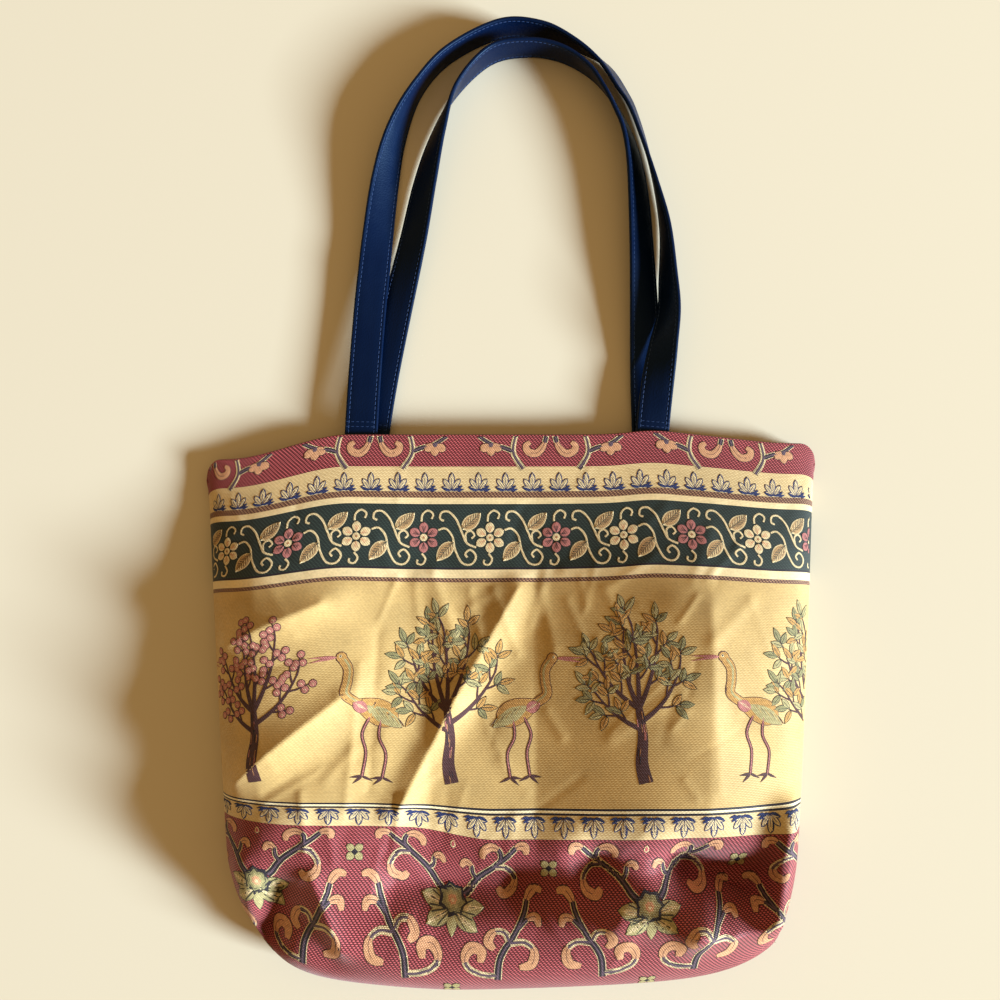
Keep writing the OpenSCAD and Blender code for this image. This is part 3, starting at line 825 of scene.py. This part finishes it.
# Stitch rows down both edges of both faces of a strap, and across it just beyond the mouth
def strapStitches(name, shares, seat):
    s = strapForm
    centre, along, across, through = strapFrame(shares, seat, s["stitchPitch"])
    form, faces = stitchForm(s["stitchLength"], s["stitchThick"])
    x = s["width"] / 2 - s["stitchIn"]
    rise = float(strapHalf(np.array(x))) + s["stitchLift"]
    sides = [(edge, side) for edge in (-1, 1) for side in (-1, 1)]
    origin = np.concatenate([centre + across * x * edge + through * rise * side for edge, side in sides])
    axes = [np.tile(a, (len(sides), 1)) for a in (along, across, through)]
    rows = [copies(form, faces, origin, axes)]
    places = np.arange(-x, x, s["stitchPitch"])[:, None] + s["stitchLength"] / 2
    for row in s["crossRows"]:
        foot = int((s["tail"] + row) / s["stitchPitch"])
        for k in (foot, len(centre) - 1 - foot):
            spots = centre[k] + across[k] * places + through[k] * rise
            turned = [np.tile(a, (len(places), 1)) for a in (across[k], -along[k], through[k])]
            rows.append(copies(form, faces, spots, turned))
    return makePiece(name, *gathered(rows), strapThread)


frontStrap = strap("frontStrap", frontStrapShares, strapForm["frontSeat"])
backStrap = strap("backStrap", backStrapShares, strapForm["backSeat"])
frontStitches = strapStitches("frontStrapStitches", frontStrapShares, strapForm["frontSeat"])
backStitches = strapStitches("backStrapStitches", backStrapShares, strapForm["backSeat"])
print("straps made")


# Ornament, in millimetres: places across, drops and lifts from a band's edge, heights over the cloth
ornament = {
    "scrollPitch": 116.0, "scrollAt": -36.0, "mouthAt": 26.0, "leafPitch": 17.6, "leafAt": -4.0,
    "leafLift": 1.2, "leafDrop": 0.6, "vinePitch": 43.0, "vineAt": -14.0,
    "treePitch": 117.0, "treeAt": -40.0, "treeSeeds": (3, 5, 9), "groundLift": 16.0,
    "birdAt": 7.5, "birdSize": 0.86, "birdLift": 1.0,
    "lotusDrop": 40.5, "flowerDrop": 17.0, "lowFlowerDrop": 48.0, "budDrop": 5.5,
    "raise": 0.3, "baseShare": 0.5, "layerShare": 0.35, "domeShare": 0.3, "backPress": 0.5,
    "cell": 2.0, "edgeShare": 0.987, "footCut": 2.0, "mouthCut": 1.3, "passes": 6,
}


# Figures are drawn flat, in millimetres and degrees: points across, along and above the cloth, faces, colours
def patch(points, lifts, name):
    rows, cols = points.shape[:2]
    high = np.broadcast_to(lifts, (rows, cols)).reshape(-1, 1)
    flat = np.concatenate([points.reshape(-1, 2), high], 1)
    return flat, gridFaces(gridNumbers(rows, cols)), np.tile(colour(name), (rows * cols, 1))


# Heights of a figure's layer over the cloth: a low dome, where out is 0 in its middle and 1 at its edge
def dome(layer, out):
    o = ornament
    return o["raise"] * (o["baseShare"] + o["layerShare"] * layer - o["domeShare"] * out)


# Several figures as one
def joined(parts):
    return *gathered(parts), np.concatenate([p[2] for p in parts])


# A figure moved, turned and mirrored
def placed(figure, across, along, mirror=1, turn=0.0, size=1.0):
    flat = figure[0].copy()
    x, y = flat[:, 0] * mirror * size, flat[:, 1] * size
    flat[:, 0] = across + x * np.cos(turn) - y * np.sin(turn)
    flat[:, 1] = along + x * np.sin(turn) + y * np.cos(turn)
    return flat, figure[1], figure[2]


# A band of thread along a path, highest in its middle
def ribbon(path, width, name, layer=1.0):
    way = np.gradient(path, axis=0)
    way /= np.linalg.norm(way, axis=1, keepdims=True) + tiny
    side = np.stack([-way[:, 1], way[:, 0]], 1)
    half = np.broadcast_to(width, len(path))[:, None, None] / 2
    steps = 1 + int(half.max() / ornament["cell"])
    across = np.linspace(-1, 1, 2 * steps + 1)
    points = path[:, None] + side[:, None] * half * across[None, :, None]
    return patch(points, dome(layer, across ** 2)[None], name)


# A ribbon through a few points
def line(points, width, name, layer=1.0, step=1.2):
    return ribbon(smoothPath(np.array(points, float), step), width, name, layer)


# The direction of a heading in degrees
def towards(heading):
    way = np.radians(heading)
    return np.stack([np.cos(way), np.sin(way)], -1)


# A path whose heading turns evenly along it
def curl(start, heading, length, turn, count=16):
    steps = towards(heading + turn * np.linspace(0, 1, count)) * length / (count - 1)
    return np.array(start) + np.cumsum(steps, axis=0) - steps[0]


# A thin band of thread along such a path
def stroke(start, heading, length, width, name, layer, bend=0.0, count=5):
    return ribbon(curl(start, heading, length, bend, count), width, name, layer)


# Leaves and round forms: least width and rows of a leaf, layers of its edge and fill, rings of a round form
leafForm = {
    "tip": 0.15, "rows": 9, "edgeLayer": 0.7, "fillLayer": 1.1, "fillLeast": 0.5,
    "ringStart": 0.001, "rings": 3, "ringWidth": 3.0, "domePower": 4, "spotSides": 10,
}


# A leaf or petal: a ribbon whose width is a sine of the way along, to a power; blunt moves its widest place
def leafShape(start, heading, length, width, name, bend=0.0, layer=1.0, blunt=0.8, full=1.0):
    count = max(leafForm["rows"], int(length / ornament["cell"]))
    t = np.linspace(0, 1, count)
    wide = leafForm["tip"] + width * np.abs(np.sin(np.pi * t ** blunt)) ** full
    return ribbon(curl(start, heading, length, bend, count), wide, name, layer)


# A leaf with an outline of another colour under it
def edgedLeaf(start, heading, length, width, name, edge, bend=0.0, layer=1.0, blunt=0.8, full=1.0, rim=1.1):
    inner = np.array(start) + towards(heading) * rim / 2
    low, high = layer * leafForm["edgeLayer"], layer * leafForm["fillLayer"]
    fill = max(width - rim, leafForm["fillLeast"])
    return [
        leafShape(start, heading, length, width, edge, bend, low, blunt, full),
        leafShape(inner, heading, length - rim, fill, name, bend, high, blunt, full),
    ]


# A round form with its own radius in each direction
def rosette(centre, radii, name, layer=1.0):
    turn = np.linspace(0, 2 * np.pi, len(radii) + 1)
    ring = np.append(radii, radii[0])[:, None] * np.stack([np.cos(turn), np.sin(turn)], 1)
    rings = leafForm["rings"] + int(max(radii) / leafForm["ringWidth"])
    out = np.linspace(leafForm["ringStart"], 1, rings)
    points = np.array(centre) + out[:, None, None] * ring[None]
    return patch(points, dome(layer, out ** leafForm["domePower"])[:, None], name)


# A round spot
def spot(centre, radius, name, layer=1.0):
    return rosette(centre, np.full(leafForm["spotSides"], radius), name, layer)


# Scroll stems: taper, pale outline and violet core, then the shape, edge, fill and vein of a tip
tendrilForm = {
    "step": 0.8, "taper": 0.35, "outline": 0.9, "core": 0.4, "overlap": 3,
    "tipFull": 0.92, "tipEnds": (0.12, 0.9), "tipPower": 0.6, "tipEdge": 1.1, "tipFill": 0.2,
    "veinShare": 0.6, "vein": 0.7,
}


# A scroll stem: violet between dark edges and a pale outline, ending in a full curled tip
def tendril(points, width, tipShare=0.5, tipWidth=1.5):
    t = tendrilForm
    path = smoothPath(np.array(points, float), t["step"])
    cut = int(len(path) * (1 - tipShare))
    stem, tip = path[:cut + t["overlap"]], path[cut:]
    wide = (width * (1 - t["taper"] * np.linspace(0, 1, len(path))))[:len(stem)]
    parts = [
        ribbon(stem, wide + t["outline"], "pale", 0.5), ribbon(stem, wide, "ink", 0.8),
        ribbon(stem, t["core"] * wide, "stem", 1.3),
    ]
    if tipShare > 0:
        swell = np.sin(np.pi * np.linspace(*t["tipEnds"], len(tip))) ** t["tipPower"]
        bulb = t["tipFull"] * width * tipWidth * swell
        vein = tip[:int(t["veinShare"] * len(tip))]
        parts += [
            ribbon(tip, bulb + t["tipEdge"], "bark", 0.6), ribbon(tip, bulb + t["tipFill"], "peach", 1.0),
            ribbon(vein, t["vein"], "bark", 1.4),
        ]
    return parts


# A figure and its mirror image
def mirrored(parts):
    one = joined(parts)
    return joined([one, placed(one, 0, 0, -1)])


# Scroll of the mouth's band: forked stems, hanging trefoils and a pair of volutes
def mouthScroll():
    half = tendril([(18.4, -1), (23, 6), (24.8, 11), (24.3, 17), (22, 25)], 3.4, 0)
    half += tendril([(24.8, 11), (31, 13.5), (38.6, 15.6), (47, 21), (52, 25)], 3.0, 0)
    volute = [(2.2, 26), (3.2, 20), (5.2, 14), (9.5, 9.8), (14.8, 10.8), (16.4, 14.8), (13.6, 17.2)]
    half += tendril(volute, 3.0, 0.72, 1.75)
    for heading in (-152, -96, -38):
        half += edgedLeaf((39.6, 16), heading, 8.6, 6.2, "peach", "bark", 14, 1.2, 1.15, 0.6, 0.9)
    half += [spot((39.6, 15.4), 1.7, "stem", 2.0)]
    return mirrored(half)


# Upright palmette of the pale borders, with dark blades at its foot
def borderLeaf():
    parts = []
    petals = ((158, 6.8, 3.0), (22, 6.8, 3.0), (125, 9.8, 3.7), (55, 9.8, 3.7), (90, 12.4, 4.2))
    for heading, length, width in petals:
        parts += edgedLeaf((0, 0.6), heading, length, width, "pale", "navy", 0, 1.0, 1.35, 0.6, 1.25)
        parts.append(stroke((0, 0.6), heading, 0.66 * length, 0.5, "navy", 1.6))
    blades = ((0.6, 18, 7.4), (2.4, 34, 6), (-0.6, 165, 6.6), (3.6, 8, 5), (-2.4, 150, 4.6))
    for foot, heading, length in blades:
        bend = 10 if heading < 90 else -10
        parts.append(leafShape((foot, 0.5), heading, length, 1.7, "navy", bend, 1.8, 0.6))
    return joined(parts)


# Flower of the vine: six round petals, each with three darker streaks, round a small eye
def vineFlower(petal, streak):
    parts = []
    for heading in range(90, 450, 60):
        way = towards(heading)
        parts += edgedLeaf(2.7 * way, heading, 7.8, 6.2, petal, "ink", 0, 1.1, 1.0, 0.62, 0.6)
        for turn in (-16, 0, 16):
            parts.append(stroke(way * 3.4, heading + turn, 4.2, 0.7, streak, 1.7, count=4))
    return joined(parts + [spot((0, 0), 2.5, "pale", 1.4), spot((0, 0), 1.0, "feather", 2.0)])


# Vine: its stems and hooks as a width and points, its leaves, and the hatching across them
vineForm = {
    "stems": (
        (1.35, [(13, 11), (10.5, 12.5), (11.5, 16.5), (16, 17), (21, 12), (24.5, 4), (28, -3.5),
                (34, -6.5)]),
        (1.25, [(27.5, -2.5), (27.2, 2.5), (30.5, 4.5), (33, 1.5), (31, -0.5)]),
        (1.35, [(9.5, 5), (14, 6), (18.5, 1), (20.5, -8), (25, -16.5), (31, -17.5), (34, -12.5),
                (30.5, -8), (27, -10.5), (28.5, -13)]),
        (1.3, [(-1.5, 10.5), (-1, 15), (2.5, 17.8), (6, 15.5), (5, 12.2)]),
        (1.3, [(-1, -10.5), (1.4, -14), (-0.6, -17.8), (-4, -17), (-3.6, -14.6)]),
    ),
    "leaves": (((24.5, 5.5), 34), ((19.5, -3.0), 222)), "leafLength": 16.5, "leafWidth": 9.0, "bend": 12,
    "midrib": 14, "hatches": 6, "hatchPitch": 2.1, "hatchStart": 1.5, "hatchReach": 3.6,
    "hatchTurns": (50, -38),
}


# One length of vine: two S stems, two hatched leaves and the small hooks over and under a flower
def vineLength():
    f = vineForm
    parts = [line(points, width, "pale") for width, points in f["stems"]]
    for start, heading in f["leaves"]:
        parts += edgedLeaf(
            start, heading, f["leafLength"], f["leafWidth"], "tan", "pale", f["bend"], 1.0, 0.85, 0.8, 1.5)
        parts.append(stroke(start, heading, f["midrib"], 0.7, "greenDash", 1.5, f["bend"], 6))
        for k in range(1, f["hatches"] + 1):
            far = f["hatchPitch"] * k
            foot = np.array(start) + towards(heading + f["bend"] / 2) * far
            reach = f["hatchReach"] * np.sin(np.pi * (far + f["hatchStart"]) / f["leafLength"])
            for turn, tone in zip(f["hatchTurns"], ("pale", "green")):
                way = heading + turn
                parts.append(stroke(foot, way, reach, 0.55, tone, 1.6, count=3))
                parts.append(stroke(foot + 0.9, way - 4, reach, 0.45, "greenDash", 1.5, count=3))
    return joined(parts)


# Trees: trunk points and widths, hatches on it, limbs as root, heading, length and turn, and places of twigs
treeForm = {
    "trunk": [(3.0, 0), (0.8, 12), (1.8, 28), (0, 44)], "trunkWidths": (8.6, 4.4), "step": 1.5,
    "hatches": 14, "hatchSpread": 5, "hatchRows": 4,
    "limbs": (
        (-1, 148, 36, -42), (-1, 116, 44, -24), (-1, 88, 46, 12), (-1, 62, 45, 22), (-6, 30, 38, 40),
        (-9, 158, 30, -36),
    ),
    "limbWidths": (3.2, 1.0), "limbMore": 5, "limbSwing": 16,
    "twigs": (5, 8, 11, 13, 15), "twigLength": 7, "twigMore": 6, "twigSwing": 38, "twigSwingMore": 18,
    "twigBend": 24, "twigWidths": (1.4, 0.8), "twigRows": 7, "sprays": ((6, 0), (4, 52), (5, -50)),
    "leafLength": 8.5, "leafMore": 3, "leafWidth": 4.4, "berryOut": 2.4,
}


# A tree: hatched trunk and curving limbs, whose twigs carry outlined leaves or berries
def tree(seed, berries):
    f = treeForm
    random = np.random.default_rng(seed)
    trunk = smoothPath(np.array(f["trunk"]), f["step"])
    parts = [ribbon(trunk, np.linspace(*f["trunkWidths"], len(trunk)), "bark", 0.9)]
    for k in range(f["hatches"]):
        at = int(random.integers(0, len(trunk) - f["hatchRows"]))
        tone = ("feather", "ink", "rose")[k % 3]
        aside = (f["hatchSpread"] * random.random() - f["hatchSpread"] / 2, 0)
        parts.append(ribbon(trunk[at:at + f["hatchRows"]] + aside, 0.6, tone, 1.5))
    for root, heading, length, turn in f["limbs"]:
        longer = length + f["limbMore"] * random.random()
        path = curl(trunk[root], heading, longer, turn + f["limbSwing"] * (random.random() - 0.5))
        end = len(path) - 1
        parts.append(ribbon(path, np.linspace(*f["limbWidths"], len(path)), "bark"))
        for k, at in enumerate(f["twigs"]):
            side = 1 if k % 2 else -1
            swing = side * (f["twigSwing"] + f["twigSwingMore"] * random.random()) * (at < end)
            way = heading + turn * at / end + swing
            reach = f["twigLength"] + f["twigMore"] * random.random()
            twig = curl(path[at], way, reach, -side * f["twigBend"], f["twigRows"])
            parts.append(ribbon(twig, np.linspace(*f["twigWidths"], f["twigRows"]), "bark", 0.9))
            for row, swing in f["sprays"]:
                if berries:
                    parts += berry(twig[row] + f["berryOut"] * towards(way + 2 * swing))
                else:
                    tone = ("sage", "olive", "ochre")[int(random.integers(0, 3))]
                    size = f["leafLength"] + f["leafMore"] * random.random()
                    parts += treeLeaf(twig[row], way + swing, size, tone)
    return joined(parts)


# A berry: a round spot in a dark rim, with a pale glint
def berry(place):
    glint = stroke(place - (0.9, 0.2), 80, 2.6, 0.5, "pale", 2.0, -200, 6)
    return [spot(place, 2.7, "bark", 1.0), spot(place, 2.2, "berry", 1.5), glint]


# A leaf of a tree: outlined, with a midrib
def treeLeaf(start, heading, length, tone):
    blade = edgedLeaf(start, heading, length, treeForm["leafWidth"], tone, "leaf", 8, 1.2, 0.85, 0.9, 0.9)
    return blade + [stroke(start, heading, 0.7 * length, 0.5, "leaf", 1.9, 8, 4)]


# A wading bird: round body with a folded wing, S neck, slim beak and two thin legs
def bird():
    parts = edgedLeaf((-20, 42), 28, 36, 19, "ochre", "bark", -10, 0.9, 0.7, 0.8, 0.9)
    neck = np.array([(9, 55), (16.5, 61), (15.5, 70), (15.6, 79), (20, 86)], float)
    parts += [line(neck, 7.4, "bark", 0.9), line(neck, 6.4, "ochre", 1.2)]
    parts.append(line(neck + (-0.8, 0.4), 2.4, "sage", 1.6))
    parts += edgedLeaf((4, 53), 203, 31, 11.5, "sage", "bark", 12, 1.4, 1.0, 0.8, 0.9)
    for k in range(6):
        tone = "bark" if k % 2 else "ochre"
        parts.append(stroke((-2 - 3.6 * k, 52.6 - 1.7 * k), 220, 7, 0.6, tone, 1.9, 20))
    parts += edgedLeaf((1, 50), 20, 12, 9, "rose", "bark", 12, 1.9, 0.9, 0.7, 0.8)
    for k in range(4):
        parts.append(stroke((2 + 1.4 * k, 50 + 0.5 * k), 40, 6, 0.5, "pale", 2.4, count=3))
    head, eye = (20.6, 87), (21.4, 87.8)
    parts += [spot(head, 4.3, "bark", 1.1), spot(head, 3.7, "ochre", 1.6)]
    parts += [spot(eye, 1.5, "pale", 2.0), spot(eye, 0.8, "ink", 2.4)]
    for heading in (2, -8):
        parts.append(leafShape((24, 87), heading, 20, 1.9, "rose", -4, 1.3, 0.5))
    for leg in ([(0, 45), (5, 33), (2, 20), (4, 4)], [(-8, 44), (-7, 31), (-12, 19), (-10, 3)]):
        parts += [line(leg, 2.3, "bark", 1.0), line(leg, 1.0, "rose", 1.4)]
        for heading in (-6, -42, 206):
            parts.append(leafShape(leg[-1], heading, 8.5, 1.9, "bark", 0, 1.1, 0.6))
    return joined(parts)


# Lotus of the base: four broad veined leaves and a lower point, under a toothed crown
def lotus():
    parts = edgedLeaf((0, -3), -90, 13, 6.4, "sage", "bark", 0, 1.0, 0.8, 1.0, 0.9)
    for heading, length, width in ((10, 19.5, 10), (170, 19.5, 10), (-34, 18.5, 10), (-146, 18.5, 10)):
        parts += edgedLeaf((0, -1), heading, length, width, "sage", "leaf", 0, 1.3, 1.0, 0.8, 0.9)
        parts.append(leafShape((0, -1), heading, 0.92 * length, 0.34 * width, "pale", 0, 1.9, 1.5))
        for turn in (-15, 0, 15):
            parts.append(stroke((0, -1), heading + turn, 0.7 * length, 0.8, "leaf", 2.2))
    teeth = 1 + 0.26 * (np.arange(14) % 2 == 0)
    crown = ((7.4, "ink", 2.4), (6.3, "olive", 2.7), (4.6, "sage", 3.0), (3.0, "peach", 3.3))
    for size, tone, layer in crown:
        parts.append(rosette((0, 3.0), size * teeth, tone, layer))
    return joined(parts + [spot((0, 2.6), 1.5, "pale", 3.6)])


# Scrolls beside a lotus: a rising branch with its hooks, and a low hook
def lotusScroll():
    branch = [
        (7, 7), (10, 10), (13, 14.5), (17, 19), (25, 25), (33, 31), (39, 36.5), (43.5, 36.5), (44.5, 32),
    ]
    half = tendril(branch, 4.0, 0.2, 1.3)
    half += tendril([(26, 26), (29, 29.5), (28, 34.5), (23, 36.5), (18.5, 33.5), (18, 29.5)], 3.0, 0.55, 1.7)
    half += tendril([(25, 25), (32, 24), (37, 18), (36, 11.5), (30.5, 9), (27, 12)], 3.2, 0.5, 1.8)
    half += tendril([(14.5, 16.5), (12, 20), (11, 24.5), (7.5, 26), (5, 22.5)], 2.6, 0.5, 1.6)
    lowHook = [(27, -37), (17, -35.5), (9.5, -31), (8, -25), (12, -20), (17.5, -22), (17, -28)]
    half += tendril(lowHook, 3.6, 0.5, 1.9)
    return mirrored(half)


# Pair of plumes between two lotuses: a leaning stem with hooks to both sides
def plumes():
    stem = [
        (31, -40), (30, -28), (27, -21), (23, -15.5), (19, -8.5), (15, 0), (13, 7), (9, 11.5), (4.5, 10.5),
    ]
    half = tendril(stem, 4.0, 0.2, 1.3)
    half += tendril([(19, -9), (13, -3.5), (8, -3), (6.5, -8)], 2.8, 0.6, 1.7)
    half += tendril([(24, -16), (27, -11), (33, -10.5), (36.5, -16), (33, -20.5)], 3.2, 0.55, 1.8)
    half += tendril([(23.5, -17), (15, -17), (9.5, -22), (11, -29.5), (18, -31.5)], 3.4, 0.55, 1.8)
    return mirrored(half)


# Four-petal flower of the base
def smallFlower():
    parts = []
    for heading in (45, 135, 225, 315):
        parts += edgedLeaf((0, 0), heading, 6.6, 5.0, "sage", "bark", 0, 1.0, 1.1, 0.7, 0.8)
    return joined(parts + [spot((0, 0), 1.9, "ink", 1.6)])


# Small bud over a lotus
def bud():
    return joined(edgedLeaf((0, -2.4), 90, 5.0, 3.0, "redDash", "pale", 0, 1.0, 0.7, 0.8, 1.3))


# A row of one figure at even places across the cloth
def spread(figure, at, pitch, along, mirror=1, turn=0.0):
    first = int(np.ceil((-body["mouthW"] / 2 - pitch - at) / pitch))
    last = int(np.floor((body["mouthW"] / 2 + pitch - at) / pitch))
    return [placed(figure, at + pitch * k, along, mirror, turn) for k in range(first, last + 1)]


# All the ornament of a panel, band by band
def ornaments():
    o = ornament
    start = {name: float(arcAt(share)) for name, share in bandAt.items()}
    parts = spread(mouthScroll(), o["mouthAt"], o["scrollPitch"], start["mouth"])
    parts += spread(borderLeaf(), o["leafAt"], o["leafPitch"], start["upperBorder"] + o["leafLift"])
    parts += spread(borderLeaf(), o["leafAt"], o["leafPitch"], start["lowerLines"] - o["leafDrop"], 1, np.pi)
    vineMiddle = float(arcAt((bandAt["vine"] + bandAt["vineEnd"]) / 2))
    parts += spread(vineLength(), o["vineAt"], o["vinePitch"], vineMiddle)
    parts += spread(vineFlower("pale", "peach"), o["vineAt"], 2 * o["vinePitch"], vineMiddle)
    parts += spread(vineFlower("rose", "bark"), o["vineAt"] + o["vinePitch"], 2 * o["vinePitch"], vineMiddle)
    ground, pair = start["picture"] + o["groundLift"], 2 * o["treePitch"]
    middle, left, right = o["treeSeeds"]
    parts += spread(tree(middle, False), o["treeAt"], pair, ground)
    parts.append(placed(tree(left, True), o["treeAt"] - o["treePitch"], ground))
    parts.append(placed(tree(right, False), o["treeAt"] + o["treePitch"], ground))
    wader = placed(bird(), 0, 0, size=o["birdSize"])
    facing = 2 * (o["treeAt"] + o["treePitch"]) - o["birdAt"]
    parts += spread(wader, o["birdAt"], pair, ground + o["birdLift"])
    parts += spread(wader, facing, pair, ground + o["birdLift"], -1)
    redTop = start["lowerBorder"]
    lotusAt, midway = redTop - o["lotusDrop"], o["scrollAt"] + o["scrollPitch"] / 2
    parts += spread(lotusScroll(), o["scrollAt"], o["scrollPitch"], lotusAt)
    parts += spread(lotus(), o["scrollAt"], o["scrollPitch"], lotusAt)
    parts += spread(plumes(), midway, o["scrollPitch"], lotusAt)
    parts += spread(smallFlower(), midway, o["scrollPitch"], redTop - o["flowerDrop"])
    parts += spread(smallFlower(), o["scrollAt"], o["scrollPitch"], lotusAt - o["lowFlowerDrop"])
    parts += spread(bud(), o["scrollAt"], o["scrollPitch"], redTop - o["budDrop"])
    return joined(parts)


# The value of a grid at fractional rows and columns, between its four neighbours
def between(values, row, column):
    j = np.clip(row.astype(int), 0, values.shape[0] - 2)
    i = np.clip(column.astype(int), 0, values.shape[1] - 2)
    b, a = (row - j)[:, None], (column - i)[:, None]
    low = values[j, i] * (1 - a) + values[j, i + 1] * a
    high = values[j + 1, i] * (1 - a) + values[j + 1, i + 1] * a
    return low * (1 - b) + high * b


# Lays flat figures on a panel: each point rises from the skin at its own place, cut off at the seams
def lay(name, figure, skin, press):
    flat, faces, shades = figure
    across, along, lifts = flat[:, 0], flat[:, 1], flat[:, 2:]
    v = np.interp(along, arcLengths, arcShares)
    for _ in range(ornament["passes"]):
        u = np.interp(across / halfWidth(across, v), *skin["wrap"][::-1])
        v = np.interp(along + skin["shift"](u, v), arcLengths, arcShares)
    row = np.interp(v, skin["along"], np.arange(len(skin["along"])))
    column = np.interp(u, skin["across"], np.arange(len(skin["across"])))
    out = between(skin["out"], row, column)
    points = between(skin["points"], row, column) + out * lifts * press
    inside = (along > ornament["footCut"]) & (along < arcLengths[-1] - ornament["mouthCut"])
    inside = inside & (np.abs(u) < ornament["edgeShare"])
    faces = faces[inside[faces].all(1)]
    a, b, c = (points[faces[:, k]] for k in range(3))
    wrong = (np.cross(b - a, c - a) * out[faces[:, 0]]).sum(1) < 0
    faces = np.where(wrong[:, None], faces[:, ::-1], faces)
    used, faces = np.unique(faces, return_inverse=True)
    return makePiece(name, points[used], faces.reshape(-1, 3), figureThread, flat[used, :2], shades[used])


flatOrnament = ornaments()
frontFigures = lay("frontFigures", flatOrnament, frontSkin, 1.0)
backFigures = lay("backFigures", flatOrnament, backSkin, ornament["backPress"])
print("figures made", len(frontFigures.data.polygons), len(backFigures.data.polygons))


for piece, nodes, slotName in (
    (frontPanel, ("front_panel",), "tapestry"), (backPanel, ("back_panel",), "tapestry"),
    (frontLining, ("front_lining",), "lining"), (backLining, ("back_lining",), "lining"),
    (frontStrap, ("front_strap",), "strap_leather"), (backStrap, ("back_strap",), "strap_leather"),
    (frontStitches, (), "strap_leather"), (backStitches, (), "strap_leather"),
    (frontFigures, (), "tapestry"), (backFigures, (), "tapestry"),
):
    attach(piece, "root")
    if nodes:
        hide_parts(*nodes)

# Light, sky, floor and camera, in metres and degrees
stage = {
    "lampPlace": (15.2, -6.04, 5.5), "lampAim": (0, -0.05, 0), "lampSize": 4.2, "lampPower": 10600,
    "lampTint": (0.78, 0.92, 1.0), "skyTint": (1.0, 0.63, 0.26, 1), "skyStrength": 0.43,
    "floorSize": 8, "floorLevel": -0.0005,
    "lens": 36, "sensor": 36, "cameraPlace": (-0.0075, -0.137, 0.660), "cameraTilt": 10, "nearest": 0.01,
}

bpy.ops.mesh.primitive_plane_add(size=stage["floorSize"], location=(0, 0, stage["floorLevel"]))
floor = bpy.context.object
floor.name = "floor"
floor.data.materials.append(plainMaterial("floor", "floor", roughness=0.9, gloss=0.0))

# A square lamp, turned from its place to its aim
lampData = bpy.data.lights.new("key", "AREA")
lampData.size = stage["lampSize"]
lampData.energy = stage["lampPower"]
lampData.color = stage["lampTint"]
lamp = bpy.data.objects.new("key", lampData)
bpy.context.collection.objects.link(lamp)
way = np.array(stage["lampAim"]) - np.array(stage["lampPlace"])
tilt = np.arccos(-way[2] / np.linalg.norm(way))
lamp.location = stage["lampPlace"]
lamp.rotation_euler = (tilt, 0, np.arctan2(way[1], way[0]) - np.pi / 2)

world = bpy.data.worlds.new("world")
world.use_nodes = True
sky = world.node_tree.nodes["Background"]
sky.inputs["Color"].default_value = stage["skyTint"]
sky.inputs["Strength"].default_value = stage["skyStrength"]
bpy.context.scene.world = world

camera = bpy.data.objects.new("camera", bpy.data.cameras.new("camera"))
camera.data.lens = stage["lens"]
camera.data.sensor_width = stage["sensor"]
camera.data.sensor_fit = "HORIZONTAL"
camera.data.clip_start = stage["nearest"]
camera.location = stage["cameraPlace"]
camera.rotation_euler = (np.radians(stage["cameraTilt"]), 0, 0)
bpy.context.collection.objects.link(camera)
bpy.context.scene.camera = camera
bpy.context.scene.view_settings.view_transform = "Standard"
